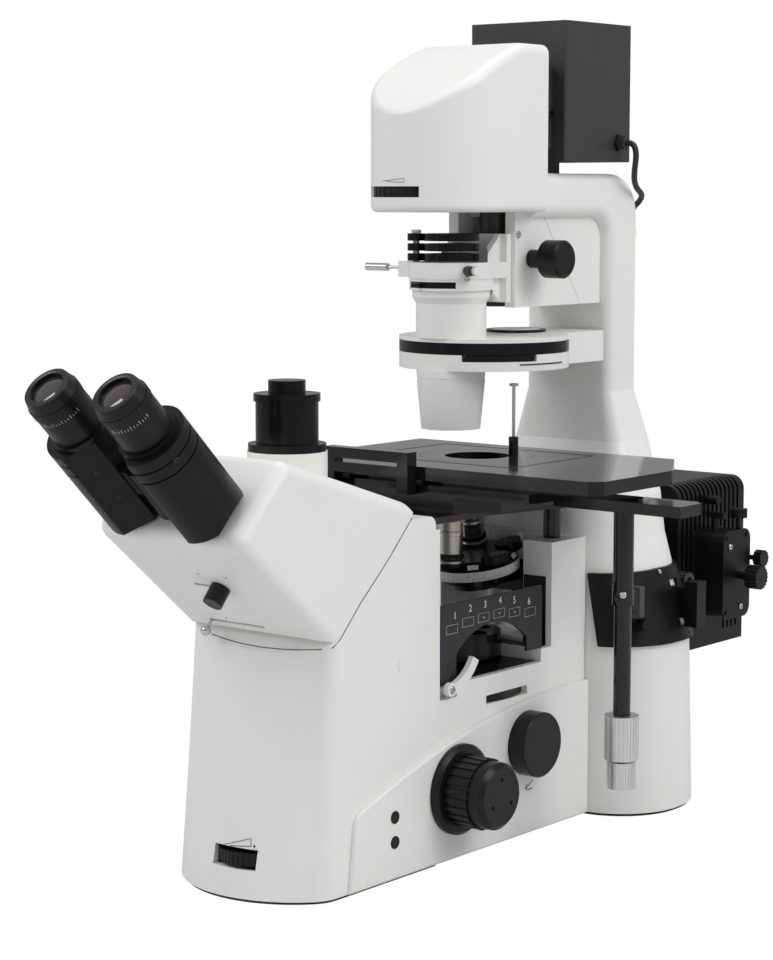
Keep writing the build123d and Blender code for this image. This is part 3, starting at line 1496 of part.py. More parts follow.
def make_stage_insert():
    """Stage insert with the round opening, a disc line and the specimen pin."""
    top = top_plate_low_z + top_plate_t
    insert = box(insert_left_x, insert_right_x, insert_front_y, insert_back_y, top - insert_t, top)
    insert = fillet(insert.edges().filter_by(Axis.Z), insert_corner_r)
    disc_y = stage_bore_y
    insert -= rod((disc_x, disc_y, top - insert_t), (0, 0, 1), disc_hole_r, insert_t)
    groove = rod((disc_x, disc_y, top - disc_groove_d), (0, 0, 1), disc_r, disc_groove_d)
    groove -= rod((disc_x, disc_y, top - disc_groove_d), (0, 0, 1), disc_r - disc_groove_w, disc_groove_d)
    insert -= groove
    insert += rod((pin_x, pin_y, top), (0, 0, 1), pin_bush_r, pin_bush_h)
    insert += rod((pin_x, pin_y, top), (0, 0, 1), pin_r, pin_top_z - top - pin_cap_t)
    insert += rod((pin_x, pin_y, pin_top_z - pin_cap_t), (0, 0, 1), pin_cap_r, pin_cap_t)
    return insert


def make_stage_knob(radius, low_z, top_z, open_below):
    """One of the two coaxial stage knobs, turning on the rod's core."""
    height = top_z - low_z
    align = (Align.CENTER, Align.CENTER, Align.MIN)
    knob = ribbed(radius, stage_knob_rib_depth, stage_knob_ribs, height)
    bore_start = 0 if open_below else y_knob_band - fit_gap
    knob -= Pos(0, 0, bore_start) * Cylinder(drive_core_r + running_gap, height, align=align)
    return Pos(drive_x, drive_y, low_z) * knob


def make_condenser_block():
    """Block on the pillar with the upright guide in its front channel."""
    block = box(-block_half_w, block_half_w, block_front_y, pillar_front_y, block_low_z, shell_low_z)
    block -= box(-block_channel_half_w, block_channel_half_w, block_front_y, block_channel_back_y,
                 block_low_z, shell_low_z)
    nut_top = block_low_z + guide_nut_h
    block += rod((0, guide_y, block_low_z), (0, 0, 1), guide_r, shell_low_z - block_low_z)
    block += rod((0, guide_y, block_low_z), (0, 0, 1), guide_nut_r, guide_nut_h)
    web_y = guide_y + guide_r / 2
    block += box(-guide_r / 2, guide_r / 2, web_y, block_channel_back_y, block_low_z, nut_top)
    top_web = shell_low_z - guide_web_h
    block += box(-block_channel_half_w, block_channel_half_w, web_y, block_channel_back_y, top_web, shell_low_z)
    block -= rod((block_half_w - condenser_shaft_in, condenser_knob_y, condenser_knob_z), (1, 0, 0),
                 condenser_shaft_r + running_gap, cut_over)
    block -= arm_body()
    return block


def make_condenser_knob():
    """Condenser focus knob on the right of the block."""
    start = block_half_w + fit_gap
    align = (Align.CENTER, Align.CENTER, Align.MIN)
    grip = Cylinder(condenser_knob_r, condenser_knob_t, align=align)
    grip = chamfer(grip.edges().group_by(Axis.Z)[-1], condenser_knob_edge)
    grip = Pos(0, 0, condenser_neck_len) * grip + Cylinder(condenser_neck_r, condenser_neck_len, align=align)
    knob = standing(grip, (start, condenser_knob_y, condenser_knob_z), (1, 0, 0))
    length = condenser_shaft_in
    return knob + rod((start - length, condenser_knob_y, condenser_knob_z), (1, 0, 0), condenser_shaft_r, length)


def make_condenser_carrier():
    """Slide plate, gussets, guide sleeve and ring clamp of the condenser."""
    back = block_front_y - carrier_plate_gap
    front = back - carrier_plate_t
    carrier = box(-plate_half_w, plate_half_w, front, back, plate_low_z, plate_top_z)
    sleeve_r = guide_r + sleeve_t
    web_w = sleeve_r / 2
    carrier += box(-web_w, web_w, back, guide_y, sleeve_low_z, sleeve_top_z)
    carrier += rod((0, guide_y, sleeve_low_z), (0, 0, 1), sleeve_r, sleeve_top_z - sleeve_low_z)
    carrier -= rod((0, guide_y, sleeve_low_z - cut_over), (0, 0, 1), guide_r + running_gap, 3 * cut_over)
    for side in (-1, 1):
        upper = [(front - gusset_reach, ring_top_z), (front, ring_top_z), (front, plate_top_z)]
        lower = [(front - gusset_reach, ring_low_z), (front, plate_low_z), (front, ring_low_z)]
        x0 = side * gusset_x - gusset_t / 2
        carrier += side_slab(upper, x0, x0 + gusset_t)
        carrier += side_slab(lower, x0, x0 + gusset_t)
    ring_h = ring_top_z - ring_low_z
    carrier += rod((0, 0, ring_low_z), (0, 0, 1), ring_r, ring_h)
    carrier += box(-plate_half_w, plate_half_w, 0, back, ring_low_z, ring_top_z)
    carrier += box(-ring_lug_x, 0, -ring_lug_half_w, ring_lug_half_w, ring_low_z, ring_top_z)
    carrier -= rod((0, 0, ring_low_z - cut_over), (0, 0, 1), ring_bore_r, ring_h + 2 * cut_over)
    carrier -= rod((-ring_lug_x - cut_over, 0, centre_lever_z), (1, 0, 0), centre_rod_r + running_gap,
                   cut_over + centre_rod_len / 2)
    turn = math.radians(centre_screw_angle)
    way = Vector(math.cos(turn), math.sin(turn), 0)
    start = Vector(0, 0, centre_screw_z) + way * (ring_r - centre_rod_r)
    carrier += rod(start, way, centre_screw_r / 2, centre_screw_len / 2)
    grip = ribbed(centre_screw_r, centre_screw_rib_depth, centre_screw_ribs, centre_screw_len / 2)
    carrier += standing(grip, start + way * (centre_screw_len / 2), way)
    carrier -= rod((0, 0, plate_low_z - cut_over), (0, 0, 1), iris_band_r + fit_gap,
                   ring_low_z - plate_low_z + cut_over)
    carrier += rod((holder_pivot_x, holder_pivot_y, ring_top_z - ring_h / 3), (0, 0, 1), holder_pin_r,
                   holder_stack_h())
    carrier += rod((holder_pivot_x, holder_pivot_y, ring_top_z - ring_h / 3 + holder_stack_h()), (0, 0, 1),
                   holder_pin_head_r, holder_pin_head_h)
    return carrier


def holder_stack_h():
    """Length of the pivot pin from inside the ring to just above the top holder."""
    top = holder_low_z + holder_pitch * (holder_count - 1) + holder_t
    return top - ring_top_z + (ring_top_z - ring_low_z) / 3 + fit_gap


def make_centre_lever():
    """Bright centring lever: a thin rod with a round grip."""
    start_x = -ring_lug_x + centre_rod_len / 2 - fit_gap
    end_x = -ring_lug_x - centre_rod_len
    lever = rod((start_x, 0, centre_lever_z), (-1, 0, 0), centre_rod_r, start_x - end_x)
    return lever + rod((end_x, 0, centre_lever_z), (-1, 0, 0), centre_grip_r, centre_grip_len)


def make_filter_holder(index):
    """One swing-out filter ring with its pivot lug and grip."""
    z = holder_low_z + holder_pitch * index
    holder = rod((0, 0, z), (0, 0, 1), holder_r, holder_t)
    holder += rod((holder_pivot_x, holder_pivot_y, z), (0, 0, 1), holder_lug_r, holder_t)
    turn = math.radians(holder_tab_angle)
    holder += rod((holder_r * math.cos(turn), holder_r * math.sin(turn), z), (0, 0, 1), holder_tab_r, holder_t)
    holder -= rod((0, 0, z + holder_lip_t), (0, 0, 1), holder_bore_r, holder_t)
    holder -= rod((0, 0, z), (0, 0, 1), holder_lip_r, holder_t)
    holder -= rod((holder_pivot_x, holder_pivot_y, z), (0, 0, 1), holder_pin_r + running_gap, holder_t)
    return holder


def sector(radius, start, end, z0, z1):
    """A wedge of a cylinder between two angles in degrees."""
    steps = 8
    points = [(0, 0)]
    for step in range(steps + 1):
        turn = math.radians(start + (end - start) * step / steps)
        points.append((radius * math.cos(turn), radius * math.sin(turn)))
    return slab(points, z0, z1)


def make_condenser_barrel():
    """Condenser barrel with the flat turret housing and its rear box."""
    collar_z = barrel_shoulder_z + barrel_collar_h
    profile = [(barrel_bore_r, housing_top_z), (barrel_low_r, housing_top_z), (barrel_low_r, barrel_neck_z),
               (barrel_r, barrel_shoulder_z), (barrel_r, collar_z), (iris_band_r, collar_z),
               (iris_band_r, ring_low_z), (barrel_bore_r, ring_low_z)]
    barrel = turned(profile)
    align = (Align.CENTER, Align.CENTER, Align.MIN)
    drum = Pos(0, wheel_axis_y, housing_low_z) * Cylinder(wheel_r, housing_top_z - housing_low_z, align=align)
    drum += box(-housing_box_half_w, housing_box_half_w, wheel_axis_y, housing_box_back_y, housing_low_z,
                housing_top_z)
    pocket_h = wheel_top_z - wheel_low_z + 2 * wheel_gap
    pocket_z = wheel_low_z - wheel_gap
    drum -= Pos(0, wheel_axis_y, pocket_z) * Cylinder(wheel_r + wheel_gap, pocket_h, align=align)
    drum += Pos(0, wheel_axis_y, pocket_z) * Cylinder(wheel_hub_r, pocket_h, align=align)
    notch = sector(2 * wheel_r, wheel_notch_start, wheel_notch_end, pocket_z - wheel_notch_h, pocket_z)
    notch -= rod((0, 0, pocket_z - wheel_notch_h), (0, 0, 1), wheel_r - wheel_notch_w, wheel_notch_h)
    drum -= Pos(0, wheel_axis_y, 0) * notch
    drum -= rod((0, 0, housing_low_z), (0, 0, 1), barrel_bore_r, housing_top_z - housing_low_z)
    barrel += drum
    barrel += rod((0, port_disc_y, housing_top_z), (0, 0, 1), port_disc_r, port_disc_t)
    groove_in = iris_band_r - iris_skin
    groove = Pos(0, 0, iris_low_z - fit_gap) * Cylinder(groove_in, iris_top_z - iris_low_z + 2 * fit_gap,
                                                        align=align)
    groove -= Pos(0, 0, iris_low_z - fit_gap) * Cylinder(iris_in_r - fit_gap,
                                                         iris_top_z - iris_low_z + 2 * fit_gap, align=align)
    barrel -= groove
    window = sector(2 * iris_band_r, iris_slot_start, iris_slot_end, iris_low_z - fit_gap,
                    iris_top_z + fit_gap)
    window -= Pos(0, 0, iris_low_z - fit_gap) * Cylinder(iris_in_r + fit_gap, cut_over, align=align)
    return barrel - window


def make_aperture_ring():
    """Aperture ring in the barrel's collar with its small tab."""
    height = iris_top_z - iris_low_z
    ring = rod((0, 0, iris_low_z), (0, 0, 1), iris_band_r - iris_skin - fit_gap, height)
    ring -= rod((0, 0, iris_low_z), (0, 0, 1), iris_in_r, height)
    turn = math.radians(iris_tab_angle)
    way = Vector(math.cos(turn), math.sin(turn), 0)
    start = Vector(0, 0, (iris_low_z + iris_top_z) / 2) + way * (iris_in_r + iris_skin)
    return ring + rod(start, way, iris_tab_r / 2, iris_band_r - iris_in_r + iris_tab_len)


def make_phase_wheel():
    """Condenser wheel in the turret housing with its six cells."""
    height = wheel_top_z - wheel_low_z
    wheel = rod((0, wheel_axis_y, wheel_low_z), (0, 0, 1), wheel_r, height)
    wheel -= rod((0, wheel_axis_y, wheel_low_z), (0, 0, 1), wheel_hub_r + running_gap, height)
    for index in range(wheel_cells):
        turn = 2 * math.pi * index / wheel_cells - math.pi / 2
        x = wheel_axis_y * math.cos(turn)
        y = wheel_axis_y + wheel_axis_y * math.sin(turn)
        wheel -= rod((x, y, wheel_low_z), (0, 0, 1), wheel_cell_r, height)
    return wheel


def make_condenser_lens():
    """Long-distance front part of the condenser with its lens."""
    profile = [(cone_bore_r, cone_lens_z), (cone_bore_r, cone_low_z), (cone_low_r, cone_low_z),
               (cone_top_r, cone_top_z), (cone_neck_r, cone_top_z), (cone_neck_r, cone_neck_z),
               (cone_top_r, cone_neck_z), (cone_top_r, housing_low_z), (cone_bore_r, housing_low_z),
               (cone_bore_r, cone_lens_z + cone_lens_t), (0, cone_lens_z + cone_lens_t), (0, cone_lens_z)]
    return turned(profile)


def make_transmitted_head():
    """Round-nosed head over the condenser with a sloping top and a wheel slot."""
    plan = make_face([
        Line((-shell_half_w, shell_back_y), (-shell_half_w, shell_nose_y)),
        ThreePointArc((-shell_half_w, shell_nose_y), (0, shell_nose_y - shell_half_w),
                      (shell_half_w, shell_nose_y)),
        Line((shell_half_w, shell_nose_y), (shell_half_w, shell_back_y)),
        Line((shell_half_w, shell_back_y), (-shell_half_w, shell_back_y))])
    shell = extrude(Pos(0, 0, shell_low_z) * plan, shell_top_z - shell_low_z)
    nose_y = shell_nose_y - shell_half_w
    bulge_y = (shell_slope_back_y + nose_y) / 2
    bulge_z = (shell_top_z + shell_slope_nose_z) / 2 + shell_bulge
    far_y = nose_y - cut_over
    slope = make_face([
        ThreePointArc((shell_slope_back_y, shell_top_z), (bulge_y, bulge_z), (nose_y, shell_slope_nose_z)),
        Line((nose_y, shell_slope_nose_z), (far_y, shell_slope_nose_z - cut_over)),
        Line((far_y, shell_slope_nose_z - cut_over), (far_y, shell_top_z + cut_over)),
        Line((far_y, shell_top_z + cut_over), (shell_slope_back_y, shell_top_z + cut_over)),
        Line((shell_slope_back_y, shell_top_z + cut_over), (shell_slope_back_y, shell_top_z))])
    cutter = extrude(Pos(-2 * shell_half_w, 0, 0) * (Plane.YZ * slope), 4 * shell_half_w, dir=(1, 0, 0))
    shell -= cutter
    top = [e for e in shell.edges() if e.center().Z > shell_slope_nose_z - shell_edge_r
           and abs(e.center().Y - shell_back_y) > running_gap]
    rim = [e for e in top if not is_upright(e) and not is_level_across(e)]
    shell = fillet(rim, shell_edge_r)
    low = [e for e in shell.edges() if abs(e.center().Z - shell_low_z) < running_gap
           and abs(e.center().Y - shell_back_y) > running_gap]
    shell = fillet(low, shell_low_edge_r)
    shell -= rod((0, 0, shell_low_z - cut_over), (0, 0, 1), shell_port_r, cut_over + shell_port_depth)
    wheel_gap_h = shell_dial_h + 2 * fit_gap
    low_z = shell_dial_z - wheel_gap_h / 2
    dial_x, dial_y = shell_dial_place()
    shell -= rod((dial_x, dial_y, low_z), (0, 0, 1), shell_dial_r + fit_gap, wheel_gap_h)
    window = sector(2 * shell_half_w, shell_dial_angle - shell_dial_span, shell_dial_angle + shell_dial_span,
                    low_z, low_z + wheel_gap_h)
    window -= rod((0, 0, low_z), (0, 0, 1), shell_half_w - shell_window_depth, wheel_gap_h)
    shell -= Pos(0, shell_nose_y, 0) * window
    shell += rod((dial_x, dial_y, low_z), (0, 0, 1), shell_dial_pin_r, wheel_gap_h)
    return shell


def shell_dial_place():
    """Axis of the brightness wheel in plan, just inside the round nose."""
    turn = math.radians(shell_dial_angle)
    reach = shell_half_w - shell_dial_recess - shell_dial_r
    return reach * math.cos(turn), shell_nose_y + reach * math.sin(turn)


def is_upright(edge):
    """True for an edge that runs straight up."""
    start = edge @ 0
    end = edge @ 1
    return math.hypot(start.X - end.X, start.Y - end.Y) < running_gap and abs(start.Z - end.Z) > fit_gap


def is_level_across(edge):
    """True for an edge that runs straight across the instrument."""
    start = edge @ 0
    end = edge @ 1
    return math.hypot(start.Y - end.Y, start.Z - end.Z) < running_gap


def make_head_dial():
    """Ribbed brightness wheel in the transmitted-light head."""
    align = (Align.CENTER, Align.CENTER, Align.MIN)
    wheel = ribbed(shell_dial_r, shell_dial_rib_depth, shell_dial_ribs, shell_dial_h)
    wheel -= Cylinder(shell_dial_pin_r + running_gap, shell_dial_h, align=align)
    dial_x, dial_y = shell_dial_place()
    return Pos(dial_x, dial_y, shell_dial_z - shell_dial_h / 2) * wheel


def make_transmitted_lamp():
    """Lamp house behind the head with its adapter, side screw and cable gland."""
    house = box(-lamp_half_w, lamp_half_w, lamp_front_y, lamp_back_y, lamp_low_z, lamp_top_z)
    house = chamfer(house.edges().filter_by(Axis.Z), lamp_edge_r / 2)
    neck = box(-lamp_neck_half_w, lamp_neck_half_w, shell_back_y, lamp_front_y, lamp_neck_low_z,
               lamp_neck_top_z)
    house += neck
    house += rod((lamp_neck_half_w, lamp_screw_y, lamp_screw_z), (1, 0, 0), lamp_screw_r, lamp_screw_len)
    foot_z = lamp_low_z
    house += box(-lamp_foot_half_w, lamp_foot_half_w, lamp_front_y, lamp_front_y + lamp_foot_len, arm_top_z,
                 foot_z)
    house += rod((lamp_half_w, gland_y, gland_z), (1, 0, 0), gland_r, gland_len)
    return house


def cable_points():
    """Route of the lamp cable from the gland down to the neck on the arm's back."""
    start = (lamp_half_w + gland_len, gland_y, gland_z)
    points = [start]
    for out_share, back_share, drop_share in zip(cable_out_shares, cable_back_shares, cable_drop_shares):
        points.append((start[0] + cable_out * out_share, start[1] + (cable_end_y - start[1]) * back_share,
                       start[2] + (cable_end_z - start[2]) * drop_share))
    points.append((cable_end_x, cable_end_y, cable_end_z))
    return points


def bend_radii(points):
    """Largest arc for each corner of a route."""
    radii = []
    for before, corner, after in zip(points, points[1:], points[2:]):
        first = Vector(*corner) - Vector(*before)
        second = Vector(*after) - Vector(*corner)
        half_turn = math.radians(first.get_angle(second)) / 2
        radii.append(cable_bend_share * min(first.length, second.length) / math.tan(half_turn))
    return radii


def make_lamp_cable():
    """Flexible lead of the transmitted lamp."""
    points = cable_points()
    radii = bend_radii(points)
    print("lamp cable bend radii:", ", ".join(f"{radius:.1f}" for radius in radii))
    route = FilletPolyline(*points, radius=radii)
    cable = sweep(Plane(origin=route @ 0, z_dir=route % 0) * Circle(cable_r), path=route)
    tube_volume = math.pi * cable_r ** 2 * route.length
    print(f"lamp cable volume {cable.volume:.0f}, section times length {tube_volume:.0f}")
    return cable


os.makedirs("parts", exist_ok=True)
pivot = Location(at_pivot(0))
tube_right = add_knuckle(make_tube_right(), knuckle_low_start)
tube_left = add_knuckle(make_tube_right(), knuckle_low_start + knuckle_len + knuckle_gap)
bodies = {
    "base_plate": make_base_plate(),
    "main_frame": make_main_frame(),
    "head_housing": make_head_housing(),
    "photo_port": make_photo_port(),
    "rear_column": make_rear_column(),
    "filter_collar": make_filter_collar(),
    "epi_lamp_house": make_epi_lamp_house(),
    "collector_socket": make_collector_socket(),
    "stage_base": make_stage_base(),
    "number_plate": make_number_plate(),
    "condenser_block": make_condenser_block(),
    "transmitted_head": make_transmitted_head(),
    "transmitted_lamp": make_transmitted_lamp(),
    "lamp_cable": make_lamp_cable(),
    "tube_right": pivot * tube_right,
    "tube_left": pivot * mirrored(tube_left),
    "eyepiece_right": pivot * make_eyepiece(),
    "eyepiece_left": pivot * mirrored(make_eyepiece()),
    "dioptre_right": pivot * make_dioptre_ring(),
    "dioptre_left": pivot * mirrored(make_dioptre_ring()),
    "nosepiece_carrier": make_nosepiece_carrier(),
    "nosepiece": make_nosepiece(),
    "objective_long": make_objective(0, objective_body_h),
    "objective_short": make_objective(3, objective_short_h),
    "coarse_knobs": make_coarse_knobs(),
    "fine_knobs": make_fine_knobs(),
    "tension_ring": make_tension_ring(),
    "selector_knob": make_selector_knob(),
    "button_low": make_button(button_low_z),
    "button_high": make_button(button_high_z),
    "brightness_dial": make_brightness_dial(),
    "changer_wheel": make_changer_wheel(),
    "slide_knob": make_slide_knob(),
    "ball_pin": make_ball_pin(),
    "filter_turret": make_filter_turret(),
    "window_lever": make_window_lever(),
    "slider_front": make_slider(slider_a_y, slider_z, slider_a_out_x, False),
    "slider_rear": make_slider(slider_b_y, slider_b_z, slider_b_out_x, True),
    "iris_knob": make_iris_knob(),
    "clamp_knob": make_clamp_knob(),
    "collector_knob": make_collector_knob(),
    "socket_thumb_top": make_thumb_screw((thumb_top_x, thumb_top_y, socket_z + socket_half_h), (0, 0, 1),
                                         thumb_stem_in - fit_gap, thumb_stem_len),
    "socket_thumb_side": make_thumb_screw((rl_half_w - rl_fin_depth, thumb_side_y, thumb_side_z), (1, 0, 0),
                                          thumb_stem_in - fit_gap, thumb_side_stem_len + rl_fin_depth),
    "socket_lever": make_socket_lever(),
    "stage_y_plate": make_stage_y_plate(),
    "stage_top": make_stage_top(),
    "stage_insert": make_stage_insert(),
    "y_knob": make_stage_knob(y_knob_r, y_knob_low_z, y_knob_top_z, True),
    "x_knob": make_stage_knob(x_knob_r, x_knob_low_z, x_knob_top_z, False),
    "condenser_carrier": make_condenser_carrier(),
    "condenser_barrel": make_condenser_barrel(),
    "phase_wheel": make_phase_wheel(),
    "condenser_lens": make_condenser_lens(),
    "holder_low": make_filter_holder(0),
    "holder_mid": make_filter_holder(1),
    "holder_top": make_filter_holder(2),
    "condenser_knob": make_condenser_knob(),
    "head_dial": make_head_dial(),
    "centre_lever": make_centre_lever(),
    "aperture_ring": make_aperture_ring(),
}
for name, body in bodies.items():
    export_step(body, "parts/" + name + ".step")
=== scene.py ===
import math

import bmesh
import bpy
from mathutils import Matrix, Vector


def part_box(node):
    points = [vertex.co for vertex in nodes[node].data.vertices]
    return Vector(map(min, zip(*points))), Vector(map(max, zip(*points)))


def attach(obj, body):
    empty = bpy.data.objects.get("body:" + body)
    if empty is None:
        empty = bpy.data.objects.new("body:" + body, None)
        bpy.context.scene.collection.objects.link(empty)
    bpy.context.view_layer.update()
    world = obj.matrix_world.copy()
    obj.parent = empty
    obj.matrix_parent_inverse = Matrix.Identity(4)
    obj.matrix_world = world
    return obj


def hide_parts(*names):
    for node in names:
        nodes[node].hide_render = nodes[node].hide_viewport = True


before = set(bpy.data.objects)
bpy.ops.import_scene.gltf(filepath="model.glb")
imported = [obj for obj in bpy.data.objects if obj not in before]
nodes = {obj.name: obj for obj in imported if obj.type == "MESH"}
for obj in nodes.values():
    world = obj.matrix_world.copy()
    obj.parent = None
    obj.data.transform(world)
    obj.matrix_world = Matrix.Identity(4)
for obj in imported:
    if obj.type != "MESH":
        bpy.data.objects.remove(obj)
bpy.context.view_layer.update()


# Camera and studio. A long lens stands to the user's right and a little above the stage,
# over a pale floor, with soft lamps overhead and to each side.
camera_place = (1.3336, -1.7280, 0.585)
camera_nod = 6.82
camera_turn = 39.2
lens_length = 90.0
camera_data = bpy.data.cameras.new("camera")
camera_data.sensor_width = 36.0
camera_data.lens = lens_length
camera_data.clip_start = 0.05
camera_data.clip_end = 60.0
camera = bpy.data.objects.new("camera", camera_data)
camera.location = camera_place
camera.rotation_euler = (math.radians(90.0 - camera_nod), 0.0, math.radians(camera_turn))
bpy.context.scene.collection.objects.link(camera)
bpy.context.scene.camera = camera
bpy.context.scene.view_settings.view_transform = "Standard"

room_colour = (0.86, 0.88, 0.9, 1.0)
room_strength = 0.46
plain_white = (1.0, 1.0, 1.0, 1.0)
world = bpy.data.worlds.new("studio")
bpy.context.scene.world = world
world.use_nodes = True
sky = world.node_tree.nodes
sky.clear()
sky_links = world.node_tree.links
room = sky.new("ShaderNodeBackground")
room.inputs["Color"].default_value = room_colour
room.inputs["Strength"].default_value = room_strength
white_room = sky.new("ShaderNodeBackground")
white_room.inputs["Color"].default_value = plain_white
white_room.inputs["Strength"].default_value = 1.0
seen_by = sky.new("ShaderNodeLightPath")
room_choice = sky.new("ShaderNodeMixShader")
sky_out = sky.new("ShaderNodeOutputWorld")
sky_links.new(seen_by.outputs["Is Camera Ray"], room_choice.inputs["Fac"])
sky_links.new(room.outputs["Background"], room_choice.inputs[1])
sky_links.new(white_room.outputs["Background"], room_choice.inputs[2])
sky_links.new(room_choice.outputs["Shader"], sky_out.inputs["Surface"])


def soft_lamp(name, place, target, size, watts):
    """A square area lamp that looks at a point."""
    data = bpy.data.lights.new(name, "AREA")
    data.shape = "SQUARE"
    data.size = size
    data.energy = watts
    lamp = bpy.data.objects.new(name, data)
    lamp.location = place
    lamp.rotation_euler = (Vector(target) - Vector(place)).to_track_quat("-Z", "Y").to_euler()
    bpy.context.scene.collection.objects.link(lamp)


object_middle = (0.0, 0.0, 0.4)
soft_lamp("key_lamp", (-1.4, -2.3, 2.4), object_middle, 1.8, 38.0)
soft_lamp("side_lamp", (2.3, 0.3, 2.1), (0.0, 0.0, 0.45), 1.6, 34.0)
soft_lamp("top_lamp", (0.2, 0.2, 2.9), (0.0, 0.0, 0.3), 2.0, 22.0)

floor_half = 9
floor_colour = (0.7, 0.7, 0.7, 1.0)
floor_glow_strength = 1.02
floor_glow_share = 0.97
floor_corners = [(-floor_half, -floor_half, 0), (floor_half, -floor_half, 0), (floor_half, floor_half, 0),
                 (-floor_half, floor_half, 0)]
floor_mesh = bpy.data.meshes.new("floor")
floor_mesh.from_pydata(floor_corners, [], [(0, 1, 2, 3)])
floor = bpy.data.objects.new("floor", floor_mesh)
bpy.context.scene.collection.objects.link(floor)
floor_paint = bpy.data.materials.new("studio_floor")
floor_paint.use_nodes = True
floor_tree = floor_paint.node_tree
floor_shader = floor_tree.nodes["Principled BSDF"]
floor_shader.inputs["Base Color"].default_value = floor_colour
floor_shader.inputs["Roughness"].default_value = 0.75
floor_glow = floor_tree.nodes.new("ShaderNodeEmission")
floor_glow.inputs["Color"].default_value = plain_white
floor_glow.inputs["Strength"].default_value = floor_glow_strength
floor_ray = floor_tree.nodes.new("ShaderNodeLightPath")
floor_blend = floor_tree.nodes.new("ShaderNodeMixShader")
floor_share = floor_tree.nodes.new("ShaderNodeMath")
floor_share.operation = "MULTIPLY"
floor_share.inputs[1].default_value = floor_glow_share
floor_tree.links.new(floor_ray.outputs["Is Camera Ray"], floor_share.inputs[0])
floor_tree.links.new(floor_share.outputs[0], floor_blend.inputs["Fac"])
floor_tree.links.new(floor_shader.outputs["BSDF"], floor_blend.inputs[1])
floor_tree.links.new(floor_glow.outputs["Emission"], floor_blend.inputs[2])
floor_tree.links.new(floor_blend.outputs["Shader"], floor_tree.nodes["Material Output"].inputs["Surface"])
floor_mesh.materials.append(floor_paint)


# Lamp cable. A soft black lead of about 6 mm leaves the gland on the lamp house's right side,
# hangs in a short bow and goes into the inlet in the back of the arm.
ramp_low = 0.3
ramp_high = 0.7
gloss_swing = 0.05
grain_depth = 0.0002


def finish(name, colour, rough, metal=0.0, mottle=0.04, mottle_size=18.0, grain=0.0, grain_size=900.0,
           coat=0.0, specular=0.5):
    """A painted, moulded or metal surface with slight mottling, uneven gloss and a fine grain."""
    made = bpy.data.materials.new(name)
    made.use_nodes = True
    tree = made.node_tree
    shader = tree.nodes["Principled BSDF"]
    shader.inputs["Metallic"].default_value = metal
    shader.inputs["Specular IOR Level"].default_value = specular
    shader.inputs["Coat Weight"].default_value = coat
    place = tree.nodes.new("ShaderNodeTexCoord")
    patches = tree.nodes.new("ShaderNodeTexNoise")
    patches.inputs["Scale"].default_value = mottle_size
    patches.inputs["Detail"].default_value = 5.0
    tree.links.new(place.outputs["Object"], patches.inputs["Vector"])
    tones = tree.nodes.new("ShaderNodeValToRGB")
    tones.color_ramp.elements[0].position = ramp_low
    tones.color_ramp.elements[1].position = ramp_high
    darker = tuple(max(0.0, c * (1.0 - mottle)) for c in colour)
    lighter = tuple(min(1.0, c * (1.0 + mottle)) for c in colour)
    tones.color_ramp.elements[0].color = darker + (1.0,)
    tones.color_ramp.elements[1].color = lighter + (1.0,)
    tree.links.new(patches.outputs["Fac"], tones.inputs["Fac"])
    tree.links.new(tones.outputs["Color"], shader.inputs["Base Color"])
    gloss = tree.nodes.new("ShaderNodeMapRange")
    gloss.inputs["From Min"].default_value = ramp_low
    gloss.inputs["From Max"].default_value = ramp_high
    gloss.inputs["To Min"].default_value = max(0.03, rough - gloss_swing)
    gloss.inputs["To Max"].default_value = min(1.0, rough + gloss_swing)
    tree.links.new(patches.outputs["Fac"], gloss.inputs["Value"])
    tree.links.new(gloss.outputs["Result"], shader.inputs["Roughness"])
    if grain:
        pores = tree.nodes.new("ShaderNodeTexNoise")
        pores.inputs["Scale"].default_value = grain_size
        pores.inputs["Detail"].default_value = 3.0
        tree.links.new(place.outputs["Object"], pores.inputs["Vector"])
        relief = tree.nodes.new("ShaderNodeBump")
        relief.inputs["Strength"].default_value = grain
        relief.inputs["Distance"].default_value = grain_depth
        tree.links.new(pores.outputs["Fac"], relief.inputs["Height"])
        tree.links.new(relief.outputs["Normal"], shader.inputs["Normal"])
    return made


def dress(material, *names):
    """Give carried-over pieces their surface."""
    for name in names:
        skin = nodes[name].data.materials
        skin.clear()
        skin.append(material)


def add_piece(name, mesh, material, body):
    """Put a finished mesh into the scene and fix it to a body."""
    mesh.materials.append(material)
    made = bpy.data.objects.new(name, mesh)
    bpy.context.scene.collection.objects.link(made)
    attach(made, body)
    return made


lead_rubber = finish("lead_rubber", (0.018, 0.018, 0.019), 0.5, grain=0.25, grain_size=700.0)
lead_radius = 0.0028
lead_route = [(0.0635, 0.188, 0.632), (0.0686, 0.188, 0.632), (0.0723, 0.1889, 0.6284),
              (0.0726, 0.1912, 0.6206), (0.0675, 0.196, 0.6065), (0.0625, 0.203, 0.597),
              (0.0586, 0.213, 0.59), (0.056, 0.2235, 0.586), (0.052, 0.2335, 0.5825),
              (0.045, 0.2395, 0.577), (0.0372, 0.2404, 0.571), (0.0337, 0.2406, 0.564),
              (0.033, 0.2406, 0.5555)]
lead_curve = bpy.data.curves.new("lamp_lead", "CURVE")
lead_curve.dimensions = "3D"
lead_line = lead_curve.splines.new("NURBS")
lead_line.points.add(len(lead_route) - 1)
for at, point in enumerate(lead_route):
    lead_line.points[at].co = (*point, 1.0)
lead_line.order_u = 3
lead_line.use_endpoint_u = True
lead_line.resolution_u = 12
lead_curve.bevel_depth = lead_radius
lead_curve.bevel_resolution = 6
lead_curve.use_fill_caps = True
lead = bpy.data.objects.new("lamp_lead", lead_curve)
lead_curve.materials.append(lead_rubber)
bpy.context.scene.collection.objects.link(lead)
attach(lead, "frame")
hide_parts("lamp_cable")


